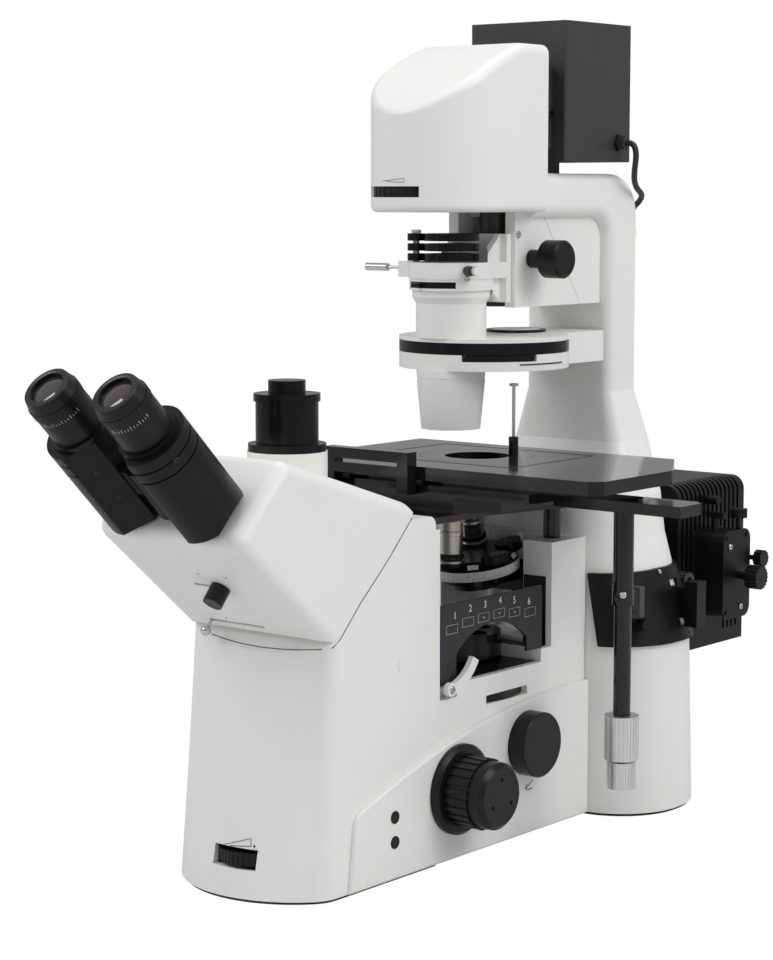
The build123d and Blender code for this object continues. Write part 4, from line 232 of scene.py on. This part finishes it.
# Base. A thin steel sheet under the castings with four moulded rubber feet, in one dark
# satin finish, screwed up into the tower and the column.
base_rubber = finish("base_rubber", (0.02, 0.02, 0.02), 0.7, grain=0.3, grain_size=500.0)
dress(base_rubber, "base_plate")


# Main frame. One aluminium casting: front tower, sill and shelf, in a warm white baked paint
# with a very fine pebble. The plain rings round the two lamp buttons are pressed in.
cast_white = finish("cast_white_paint", (0.86, 0.852, 0.82), 0.36, mottle=0.012, mottle_size=6.0,
                    grain=0.12, grain_size=1400.0)
dress(cast_white, "main_frame")
mm = 0.001
sharp_angle = 35.0


def turned(name, profile, origin, axis, material, body, sides=48, teeth=0, tooth=0.0,
           bite=0.0):
    """A lathe-turned piece: (radius, height) pairs in mm round an axis, knurled beyond a radius."""
    sides = 4 * teeth if teeth else sides
    turn = Vector(axis).normalized().to_track_quat("Z", "Y").to_matrix().to_4x4()
    place = Matrix.Translation(Vector(origin) * mm) @ turn
    shape = bmesh.new()
    rows = []
    for radius, height in profile:
        if radius == 0:
            rows.append([shape.verts.new(place @ Vector((0.0, 0.0, height * mm)))])
            continue
        row = []
        for step in range(sides):
            cut = tooth if teeth and radius > bite and step % 4 > 1 else 0.0
            angle = math.tau * step / sides
            row.append(shape.verts.new(place @ Vector(((radius - cut) * mm * math.cos(angle),
                                                       (radius - cut) * mm * math.sin(angle), height * mm))))
        rows.append(row)
    for low, high in zip(rows, rows[1:] + rows[:1]):
        if len(low) == 1 and len(high) == 1:
            continue
        for step in range(sides):
            after = (step + 1) % sides
            if len(low) == 1:
                shape.faces.new((low[0], high[after], high[step]))
            elif len(high) == 1:
                shape.faces.new((low[step], low[after], high[0]))
            else:
                shape.faces.new((low[step], low[after], high[after], high[step]))
    bmesh.ops.recalc_face_normals(shape, faces=shape.faces)
    mesh = bpy.data.meshes.new(name)
    shape.to_mesh(mesh)
    shape.free()
    if not teeth:
        mesh.shade_smooth()
        mesh.set_sharp_from_angle(angle=math.radians(sharp_angle))
    return add_piece(name, mesh, material, body)


button_ring = [(5.7, -0.6), (7.0, -0.6), (7.0, 0.25), (6.7, 0.45), (6.0, 0.45), (5.7, 0.25)]
bezel_black = finish("bezel_black", (0.008, 0.008, 0.009), 0.3, grain=0.1)
for name, height in (("button_ring_low", 38.6), ("button_ring_high", 60.3)):
    turned(name, button_ring, (80.0, -187.0, height), (1, 0, 0), bezel_black, "frame")


# Lining of the front slot. Thin black sheets line the sides, roof and floor inside the
# opening for the brightness wheel.
def flat(name, outlines, origin, right, up, depth, material, body):
    """Thin flat pieces: outlines of (right, up) pairs in mm, raised along the face's normal."""
    normal = Vector(right).cross(Vector(up)).normalized()
    shape = bmesh.new()
    for outline in outlines:
        low = []
        for a, b in outline:
            low.append(shape.verts.new((Vector(origin) + Vector(right) * a + Vector(up) * b) * mm))
        high = [shape.verts.new(corner.co + normal * depth * mm) for corner in low]
        shape.faces.new(low)
        shape.faces.new(high)
        for at in range(len(low)):
            after = (at + 1) % len(low)
            shape.faces.new((low[at], low[after], high[after], high[at]))
    bmesh.ops.recalc_face_normals(shape, faces=shape.faces)
    mesh = bpy.data.meshes.new(name)
    shape.to_mesh(mesh)
    shape.free()
    return add_piece(name, mesh, material, body)


lining_t = 0.35
slot_left_x = -11.95
slot_right_x = 31.6
slot_side = [(-299.0, 29.6), (-284.0, 29.6), (-284.0, 46.4), (-299.0, 46.4)]
slot_roof = [(-11.6, -301.5), (31.6, -301.5), (31.6, -290.0), (-11.6, -290.0)]
for name, across in (("front_slot_side_left", slot_left_x), ("front_slot_side_right", slot_right_x)):
    flat(name, [slot_side], (across, 0.0, 0.0), (0, 1, 0), (0, 0, 1), lining_t, bezel_black, "frame")
for name, height in (("front_slot_roof", 46.1), ("front_slot_floor", 29.55)):
    flat(name, [slot_roof], (0.0, 0.0, height), (1, 0, 0), (0, 1, 0), lining_t, bezel_black, "frame")


# Printed marks of the main frame: a thin wedge and a dot over the brightness wheel, and a
# small bent arrow under the large knob, all in dark grey ink.
def strokes(name, lines, half_width, material, body):
    """Inked or engraved lines that follow points given in mm."""
    curve = bpy.data.curves.new(name, "CURVE")
    curve.dimensions = "3D"
    for points in lines:
        line = curve.splines.new("POLY")
        line.points.add(len(points) - 1)
        for at, point in enumerate(points):
            line.points[at].co = (*(Vector(point) * mm), 1.0)
    curve.bevel_depth = half_width * mm
    curve.bevel_resolution = 1
    curve.use_fill_caps = True
    drawn = bpy.data.objects.new(name + "_line", curve)
    bpy.context.scene.collection.objects.link(drawn)
    bpy.context.view_layer.update()
    mesh = bpy.data.meshes.new_from_object(drawn.evaluated_get(bpy.context.evaluated_depsgraph_get()))
    mesh.name = name
    bpy.data.objects.remove(drawn)
    bpy.data.curves.remove(curve)
    return add_piece(name, mesh, material, body)


ink = finish("dark_ink", (0.03, 0.03, 0.032), 0.5)
wedge_top = [(-1.9, -304.5, 46.9), (4.5, -304.1, 48.7), (10.6, -303.3, 50.8), (14.5, -302.6, 52.0),
             (20.1, -301.4, 53.9), (24.6, -300.2, 55.5), (25.5, -301.2, 49.1)]
wedge_foot = [(25.5, -301.2, 49.1), (20.9, -302.3, 48.7), (15.1, -303.4, 48.0), (11.1, -303.9, 47.6),
              (4.9, -304.5, 46.9)]
strokes("brightness_wedge", [wedge_top, wedge_foot], 0.3, ink, "frame")
strokes("brightness_dot", [[(28.6, -300.5, 48.6), (28.6, -300.3, 50.4)]], 0.8, ink, "frame")
strokes("turn_arrow", [[(86.0, 12.0, 54.5), (86.0, 6.0, 50.6), (86.0, 0.5, 48.2)],
                       [(86.0, 3.6, 52.4), (86.0, 0.5, 48.2), (86.0, 5.5, 46.6)],
                       [(86.0, 5.5, 46.6), (86.0, 11.5, 47.4)]], 0.45, ink, "frame")


# Head. The binocular housing shares the tower's paint. Three small engraved dots mark ends
# of its two slots, and a dark joint line runs where it sits on the tower.
dress(cast_white, "head_housing")
for name, place in (("slot_dot_a", (-0.6, -333.9, 278.2)), ("slot_dot_b", (30.2, -333.7, 278.0)),
                    ("slot_dot_c", (-20.6, -279.7, 232.2))):
    turned(name, [(0, -0.3), (0.9, -0.3), (0.9, 0.08), (0, 0.08)], place, (0, -0.65, -0.76), ink, "frame",
           sides=24)

seam_dark = finish("seam_shadow", (0.06, 0.06, 0.058), 0.7)
near_seam = [(80.0, -157.0, 312.0), (80.0, -188.9, 280.2), (80.0, -225.5, 247.8), (80.0, -251.1, 221.6),
             (77.6, -257.2, 215.4), (67.8, -262.3, 213.6), (49.2, -265.9, 211.5), (28.5, -267.4, 210.0),
             (7.0, -268.2, 209.2), (-16.2, -267.7, 209.8), (-33.4, -266.4, 210.9), (-51.5, -264.4, 212.8)]
far_seam = [(-80.0, -157.0, 312.0), (-80.0, -188.9, 280.2), (-80.0, -225.5, 247.8)]
strokes("head_seam", [near_seam, far_seam], 0.45, seam_dark, "frame")


# Camera port. A black anodised tube with a rim and cap on the head, held by a socket set
# screw in its front.
anodised = finish("anodised_black", (0.007, 0.0072, 0.0085), 0.24, metal=0.15, mottle=0.08, grain=0.04,
                  grain_size=2500.0, specular=0.25)
dress(anodised, "photo_port")
socket_screw = [(0, -1.0), (1.9, -1.0), (1.9, 0.05), (1.7, 0.2), (1.0, 0.2), (1.0, -0.8), (0, -0.8)]
turned("port_set_screw", socket_screw, (-5.9, -250.8, 408.9), (-0.24, -0.97, 0), bezel_black, "frame",
       sides=24)


# Rear column. The second white casting carries the pillar and the arm over the stage.
# Its paint matches the tower's.
dress(cast_white, "rear_column")


# Filter collar. A black powder-coated saddle round the column with two filter sliders and
# a round iris knob; a bright pin stands near its top edge.
powder_black = finish("powder_black", (0.006, 0.006, 0.0068), 0.36, mottle=0.1, grain=0.3, grain_size=1600.0,
                      specular=0.22)
dress(powder_black, "filter_collar")
moulded_black = finish("moulded_black", (0.0065, 0.0065, 0.0075), 0.34, mottle=0.1, grain=0.3,
                       grain_size=2000.0, specular=0.28)
slider_grey = finish("slider_grey", (0.075, 0.077, 0.084), 0.38, metal=0.5, grain=0.1)
dress(moulded_black, "slider_rear", "iris_knob")
dress(slider_grey, "slider_front")
bright_steel = finish("bright_steel", (0.62, 0.62, 0.63), 0.25, metal=1.0, mottle=0.05, grain=0.05)
turned("collar_pin", [(0, -2.0), (2.3, -2.0), (2.3, 1.4), (1.7, 2.0), (0, 2.0)], (116.1, 172.4, 229.3),
       (0.95, 0, 0.32), bright_steel, "frame", sides=32)


# Reflected-light lamp house. A ribbed black casting with a square socket plate, held by
# socket screws; its knobs and the small lever are moulded in black.
dress(powder_black, "epi_lamp_house", "collector_socket")
dress(moulded_black, "collector_knob", "socket_thumb_top", "socket_thumb_side", "socket_lever")
knob_grey = finish("knurled_grey", (0.045, 0.046, 0.05), 0.4, metal=0.3, grain=0.2)
dress(knob_grey, "clamp_knob")
plate_screw = [(0, -1.0), (3.0, -1.0), (3.0, 1.2), (2.6, 1.6), (1.5, 1.6), (1.5, 0.4), (0, 0.4)]
for name, place in (("socket_screw_high", (103.0, 322.5, 234.7)),
                    ("socket_screw_low", (103.0, 343.9, 172.2))):
    turned(name, plate_screw, place, (1, 0, 0), bright_steel, "frame", sides=32)


# Binocular tubes. Two black painted prism housings swing on one pin. Each is closed by small
# countersunk screws, and carries a moulded eyepiece with a coated glass lens.
dress(powder_black, "tube_right", "tube_left")
dress(moulded_black, "eyepiece_right", "eyepiece_left")
small_screw = [(0, -1.0), (2.2, -1.0), (2.2, 0.05), (1.9, 0.25), (1.0, 0.25), (1.0, -0.5), (0, -0.5)]
for name, place, facing, body in (
        ("tube_screw_right", (66.2, -426.6, 383.9), (0.92, -0.27, -0.27), "right_tube"),
        ("tube_screw_left", (-23.4, -400.6, 345.8), (0.66, -0.53, -0.53), "left_tube"),
        ("tube_screw_left_high", (-24.5, -422.2, 366.1), (0.66, -0.53, -0.53), "left_tube")):
    turned(name, small_screw, place, facing, bezel_black, body, sides=24)
lens_glass = finish("coated_glass", (0.03, 0.022, 0.018), 0.06, mottle=0.2, mottle_size=60.0, coat=1.0,
                    specular=0.8)
slant = math.sqrt(0.5)
pivot = Vector((0.0, -358.201, 331.919))
along = Vector((0.0, -slant, slant))
eye_half_gap = 37.5
tube_sides = (("right", eye_half_gap, "right_tube"), ("left", -eye_half_gap, "left_tube"))
eye_glass = [(0, 142.9), (14.6, 142.9), (14.6, 143.6), (12.0, 144.4), (8.0, 145.0), (4.0, 145.3), (0, 145.4)]
rim_ring = [(15.2, 146.6), (19.4, 146.6), (19.6, 146.9), (19.3, 147.35), (15.6, 147.35), (15.2, 147.1)]
for side, offset, body in tube_sides:
    centre = pivot + Vector((offset, 0.0, 0.0))
    turned("eye_lens_" + side, eye_glass, centre, along, lens_glass, body, sides=64)
    turned("eye_rim_" + side, rim_ring, centre, along, bezel_black, body, sides=64)


# Dioptre rings. Ribbed black rings on the eyepieces, read against a row of fine white lines
# printed on each barrel below the ring.
dress(moulded_black, "dioptre_right", "dioptre_left")
white_ink = finish("white_ink", (0.8, 0.8, 0.78), 0.5)
barrel_reach = 22.02
line_foot = 125.0
line_step = 7.0
first_line_angle = -50.0
for side, offset, body in tube_sides:
    marks = []
    for step in range(-6, 7):
        angle = math.radians(first_line_angle + line_step * step)
        out = Vector((math.cos(angle), 0.0, 0.0)) + Vector((0.0, slant, slant)) * math.sin(angle)
        foot = pivot + Vector((offset, 0.0, 0.0)) + out * barrel_reach
        tall = 3.4 if step % 3 == 0 else 2.0
        marks.append([foot + along * line_foot, foot + along * (line_foot + tall)])
    strokes("dioptre_lines_" + side, marks, 0.16, white_ink, body)


# Nosepiece. A black revolving turret on a focusing bracket. A white scale ring with fine
# black lines runs round it and small white plates mark its stations.
dress(anodised, "nosepiece")
dress(powder_black, "nosepiece_carrier")
nose_lean = math.radians(10.0)
nose_axis = Vector((0.0, -math.sin(nose_lean), math.cos(nose_lean)))
nose_side = Vector((1.0, 0.0, 0.0))
nose_back = nose_axis.cross(nose_side)
nose_centre = Vector((0.0, 34.468, 254.078))
ring_white = finish("scale_white", (0.78, 0.78, 0.76), 0.45, mottle=0.02)
scale_ring = [(41.0, -17.0), (42.3, -17.0), (42.45, -16.8), (42.45, -8.2), (42.3, -8.0), (41.0, -8.0)]
turned("nose_scale_ring", scale_ring, nose_centre, nose_axis, ring_white, "turning_nosepiece",
       sides=96)
scale_lines = []
scale_steps = 90
for step in range(scale_steps):
    angle = math.tau * step / scale_steps
    out = nose_side * math.cos(angle) + nose_back * math.sin(angle)
    low = nose_centre + out * 42.42 - nose_axis * 16.4
    scale_lines.append([low, low + nose_axis * (5.6 if step % 5 == 0 else 3.2)])
strokes("nose_scale_lines", scale_lines, 0.17, ink, "turning_nosepiece")

stations = 5
plate_outline = [(-5.0, -2.2), (5.0, -2.2), (5.0, 2.2), (-5.0, 2.2)]
for station in range(stations):
    angle = math.tau * (station + 0.5) / stations - math.pi / 2
    out = nose_side * math.cos(angle) + nose_back * math.sin(angle)
    across = nose_axis.cross(out)
    rise = (nose_axis * 0.838 - out * 0.545).normalized()
    flat("station_plate_" + str(station + 1), [plate_outline], nose_centre + out * 39.5 - nose_axis * 4.0,
         across, rise, 0.5, ring_white, "turning_nosepiece")


# Objectives. Turned from champagne-grey plated brass, with a black base ring, a fine
# coloured band and a stepped, chamfered front.
objective_metal = finish("objective_metal", (0.5, 0.47, 0.42), 0.28, metal=1.0, mottle=0.04, grain=0.04)
dress(objective_metal, "objective_long", "objective_short")
band_yellow = finish("band_yellow", (0.75, 0.55, 0.06), 0.4)
station_angle = math.tau * 3 / stations - math.pi / 2
station_out = nose_side * math.cos(station_angle) + nose_back * math.sin(station_angle)
short_seat = nose_centre + station_out * 35.0
short_axis = nose_axis * math.cos(nose_lean) - station_out * math.sin(nose_lean)
base_grip = [(11.2, 4.2), (12.6, 4.2), (12.6, 8.0), (12.2, 8.6), (11.2, 8.6)]
for name, foot, axis, band in (("long", Vector((0.0, 0.0, 248.0)), Vector((0, 0, 1)), 38.0),
                               ("short", short_seat, short_axis, 32.0)):
    band_ring = [(11.2, band), (11.62, band), (11.62, band + 2.0), (11.2, band + 2.0)]
    grip_ring = [(11.2, band - 13.0), (11.9, band - 13.0), (12.05, band - 12.6), (12.05, band - 8.4),
                 (11.9, band - 8.0), (11.2, band - 8.0)]
    turned("objective_band_" + name, band_ring, foot, axis, band_yellow, "turning_nosepiece")
    turned("objective_base_" + name, base_grip, foot, axis, anodised, "turning_nosepiece",
           teeth=36, tooth=0.35, bite=12.4)
    turned("objective_ring_" + name, grip_ring, foot, axis, objective_metal, "turning_nosepiece")


# Focus knobs. Coarse and fine grips on both sides of the base, with a tension ring, moulded
# in matt black rubbery plastic.
dress(moulded_black, "coarse_knobs", "fine_knobs", "tension_ring")


# Selector, buttons and wheels. The big plain knob picks the light path; the two buttons
# and the two thin wheels are of the same moulded black.
dress(moulded_black, "selector_knob", "button_low", "button_high", "brightness_dial", "changer_wheel",
      "slide_knob")
dress(bright_steel, "ball_pin")


# Filter turret and its cover. A dark grey plate with six white numbers, each over an outlined
# field, stands before the black turret; a white lever swings beside it on a screw.
plate_grey = finish("cover_plate_grey", (0.024, 0.025, 0.029), 0.42, metal=0.2, mottle=0.06, grain=0.1)
dress(anodised, "filter_turret")
dress(plate_grey, "number_plate")
dress(cast_white, "window_lever")
cover_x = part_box("number_plate")[1][0] / mm
numbers = ((1, -92.1, 219.0, -96.4, 207.8), (2, -70.0, 222.6, -73.4, 211.1), (3, -48.4, 223.2, -50.6, 212.1),
           (4, -26.1, 223.9, -27.5, 212.8), (5, -4.6, 221.4, -4.2, 210.6), (6, 17.8, 217.3, 19.5, 207.7))
number_height = 6.4
field_half_w = 8.0
field_half_h = 3.8
dot_half_w = 0.5
for number, y, z, field_y, field_z in numbers:
    words = bpy.data.curves.new("number_" + str(number), "FONT")
    words.body = str(number)
    words.size = number_height * 1.4 * mm
    words.align_x = "CENTER"
    words.align_y = "CENTER"
    words.extrude = 0.06 * mm
    drawn = bpy.data.objects.new("number_line", words)
    bpy.context.scene.collection.objects.link(drawn)
    bpy.context.view_layer.update()
    mesh = bpy.data.meshes.new_from_object(drawn.evaluated_get(bpy.context.evaluated_depsgraph_get()))
    upright = Matrix(((0, 0, 1, cover_x * mm), (1, 0, 0, y * mm), (0, 1, 0, z * mm), (0, 0, 0, 1)))
    mesh.transform(upright)
    bpy.data.objects.remove(drawn)
    add_piece("cover_number_" + str(number), mesh, white_ink, "frame")
    corners = [(cover_x, field_y + a * field_half_w, field_z + b * field_half_h)
               for a, b in ((-1, -1), (1, -1), (1, 1), (-1, 1), (-1, -1))]
    strokes("cover_field_" + str(number), [corners], 0.16, white_ink, "frame")
    if number in (3, 4, 5):
        dot = [(cover_x, field_y - dot_half_w, field_z), (cover_x, field_y + dot_half_w, field_z)]
        strokes("cover_dot_" + str(number), [dot], 0.7, white_ink, "frame")
lever_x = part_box("window_lever")[1][0] / mm
turned("lever_screw", [(0, -1.0), (3.4, -1.0), (3.4, 0.8), (2.9, 1.3), (1.6, 1.3), (1.6, 0.3), (0, 0.3)],
       (lever_x, -107.0, 157.0), (1, 0, 0), bright_steel, "window_lever", sides=32)


# Bay linings. Thin black painted sheets lie on the floor, the step and the back wall of the
# bay for the filter turret.
bay_floor = [(-78.0, -117.6), (73.6, -117.6), (73.6, 31.6), (-78.0, 31.6)]
bay_step = [(32.0, -78.0), (47.8, -78.0), (47.8, 73.6), (32.0, 73.6)]
bay_back = [(48.6, 172.6), (73.6, 172.6), (73.6, 236.0), (48.6, 236.0)]
flat("bay_floor_lining", [bay_floor], (0.0, 0.0, 160.0), (1, 0, 0), (0, 1, 0), 0.5, powder_black, "frame")
flat("bay_step_lining", [bay_step], (0.0, 0.0, 172.5), (0, 1, 0), (1, 0, 0), 0.5, powder_black, "frame")
flat("bay_back_lining", [bay_back], (0.0, 48.0, 0.0), (1, 0, 0), (0, 0, 1), 0.4, powder_black, "frame")


# Stage. Black anodised plates, ground flat and rather glossy, slide on each other. A thin
# line shows the joint of the insert, and the specimen pin and its head are bright steel.
stage_black = finish("stage_anodised", (0.008, 0.0083, 0.0095), 0.1, metal=0.05, mottle=0.06, grain=0.015,
                     grain_size=2500.0, specular=0.45)
dress(stage_black, "stage_base", "stage_y_plate", "stage_top", "stage_insert")
plate_top = 345.0
insert_left = -77.0
insert_right = 95.0
insert_front = -36.0
insert_back = 92.0
insert_line = [(insert_left, insert_front, plate_top), (insert_right, insert_front, plate_top),
               (insert_right, insert_back, plate_top), (insert_left, insert_back, plate_top),
               (insert_left, insert_front, plate_top)]
strokes("insert_joint", [insert_line], 0.3, bezel_black, "stage_x_body")
long_hole = [(66.2, 66.0), (71.0, 69.0), (68.8, 71.4), (64.0, 68.4)]
right_hole = [(192.7, 35.6), (194.3, 35.6), (194.3, 37.2), (192.7, 37.2)]
back_hole = [(165.2, 94.6), (166.8, 94.6), (166.8, 96.2), (165.2, 96.2)]
flat("stage_hole_marks", [long_hole, right_hole, back_hole], (0.0, 0.0, plate_top - 0.2), (1, 0, 0),
     (0, 1, 0), 0.25, bezel_black, "stage_x_body")
pin_profile = [(0, 362.3), (1.55, 362.3), (1.55, 408.8), (3.9, 408.8), (4.15, 409.1), (4.15, 411.0),
               (3.9, 411.25), (0, 411.25)]
turned("specimen_pin", pin_profile, (33.0, 52.0, 0.0), (0, 0, 1), bright_steel, "stage_x_body",
       sides=32)


# Stage knobs. Two coaxial knurled aluminium knobs hang below the stage on a black shaft,
# with a small clamp screw part way down.
knurled_silver = finish("knurled_silver", (0.72, 0.72, 0.73), 0.3, metal=0.9, mottle=0.04, grain=0.08)
dress(knurled_silver, "y_knob", "x_knob")
turned("shaft_clamp_screw", plate_screw, (185.3, 7.0, 236.2), (0.56, -0.83, 0), bright_steel, "stage_y_body",
       sides=32)


# Condenser block. The white block under the arm carries an upright guide in a dark sleeve
# with a knurled nut, and the black focusing knob.
dress(cast_white, "condenser_block")
dress(moulded_black, "condenser_knob")
guide_sleeve = finish("guide_sleeve", (0.05, 0.048, 0.047), 0.3, metal=0.6, mottle=0.08)
guide_foot = (0.0, 68.0, 0.0)
sleeve_profile = [(15.3, 532.0), (15.53, 532.0), (15.53, 568.0), (15.3, 568.0)]
turned("guide_sleeve_top", sleeve_profile, guide_foot, (0, 0, 1), guide_sleeve, "frame",
       sides=64)
nut_profile = [(18.6, 481.2), (19.4, 481.2), (19.4, 488.6), (18.6, 488.6)]
turned("guide_nut_grip", nut_profile, guide_foot, (0, 0, 1), guide_sleeve, "frame",
       teeth=60, tooth=0.3, bite=19.0)
shade = finish("joint_grey", (0.3, 0.3, 0.29), 0.6)
strokes("block_joint", [[(38.0, 84.0, 572.0), (38.0, 150.0, 481.5)]], 0.18, shade, "frame")
turned("block_screw", [(0, -1.0), (3.6, -1.0), (3.6, 0.7), (3.0, 1.3), (1.6, 1.3), (1.6, 0.4), (0, 0.4)],
       (38.0, 50.1, 547.4), (1, 0, 0), bright_steel, "frame", sides=32)


# Condenser. White carrier, barrel and front lens cone with the turret drum; a black phase
# wheel turns in the drum, under a black port cover.
dress(cast_white, "condenser_carrier", "condenser_barrel", "condenser_lens")
dress(anodised, "phase_wheel", "holder_low", "holder_mid", "holder_top", "aperture_ring")
dress(bright_steel, "centre_lever")
port_cover = [(0, 455.6), (28.2, 455.6), (28.2, 457.9), (27.9, 458.2), (24.0, 458.2), (23.8, 457.9),
              (0, 457.9)]
turned("drum_port_cover", port_cover, (0.0, 100.0, 0.0), (0, 0, 1), anodised, "condenser",
       sides=72)
drum_centre_y = 50.0
drum_radius = 78.5
slot_line_z = 432.0
tab_low_z = 434.7
tab_h = 5.7
tab_inner_r = 68.9
tab_outer_r = 78.3
rim = []
for degrees in range(-29, 15, 4):
    angle = math.radians(degrees)
    rim.append((drum_radius * math.cos(angle), drum_centre_y + drum_radius * math.sin(angle), slot_line_z))
strokes("drum_slot_line", [rim], 0.75, bezel_black, "condenser")
seam_angle = math.radians(25.8)
seam_x = drum_radius * math.cos(seam_angle)
seam_y = drum_centre_y + drum_radius * math.sin(seam_angle)
strokes("drum_joint", [[(seam_x, seam_y, 426.2), (seam_x, seam_y, 440.4)]], 0.2, shade, "condenser")
tab = []
for radius, span in ((tab_outer_r, range(-66, -17, 3)), (tab_inner_r, range(-18, -67, -3))):
    for degrees in span:
        angle = math.radians(degrees)
        tab.append((radius * math.cos(angle), drum_centre_y + radius * math.sin(angle)))
flat("drum_index_tab", [tab], (0.0, 0.0, tab_low_z), (1, 0, 0), (0, 1, 0), tab_h, anodised, "condenser")
turned("carrier_screw", [(0, -1.5), (2.6, -1.5), (2.6, 2.0), (2.2, 2.4), (1.2, 2.4), (1.2, 1.2), (0, 1.2)],
       (33.4, -20.2, 508.9), (0.86, -0.51, 0), bright_steel, "condenser", sides=32)
turned("centring_screw", [(0, -3.0), (4.4, -3.0), (4.4, 6.4), (3.9, 7.0), (0, 7.0)], (36.0, -21.4, 516.0),
       (0.86, -0.51, 0), knob_grey, "condenser", teeth=24, tooth=0.35, bite=4.0)


# Transmitted head. The white arched housing over the condenser holds a ribbed brightness
# wheel, with a thin wedge printed above it.
dress(cast_white, "transmitted_head")
dress(moulded_black, "head_dial")
head_wedge = [(-16.3, -77.8, 595.4), (-10.6, -79.1, 595.9), (-5.6, -79.8, 596.3), (-0.8, -80.1, 596.8),
              (3.6, -80.0, 597.2), (8.8, -79.4, 597.6), (8.8, -79.4, 594.2), (3.6, -80.0, 594.4),
              (-0.8, -80.1, 594.5), (-5.6, -79.8, 594.8), (-10.6, -79.1, 595.1)]
strokes("head_wedge", [head_wedge], 0.25, ink, "frame")


# Transmitted lamp house. A folded sheet box behind the head in fine grey-black powder coat,
# with a gland nut for the lead and a cap screw in its neck.
lamp_grey = finish("lamp_house_grey", (0.034, 0.034, 0.038), 0.46, mottle=0.06, grain=0.4, grain_size=1500.0)
dress(lamp_grey, "transmitted_lamp")
gland_profile = [(5.6, -0.2), (8.6, -0.2), (8.6, 3.4), (8.2, 3.8), (5.6, 3.8)]
turned("gland_nut", gland_profile, (54.5, 188.0, 632.0), (1, 0, 0), bezel_black, "frame",
       sides=6)
turned("neck_screw", [(0, -1.0), (4.4, -1.0), (4.4, 2.6), (3.9, 3.1), (2.2, 3.1), (2.2, 1.0), (0, 1.0)],
       (40.0, 94.4, 658.0), (1, 0, 0), bezel_black, "frame", sides=32)
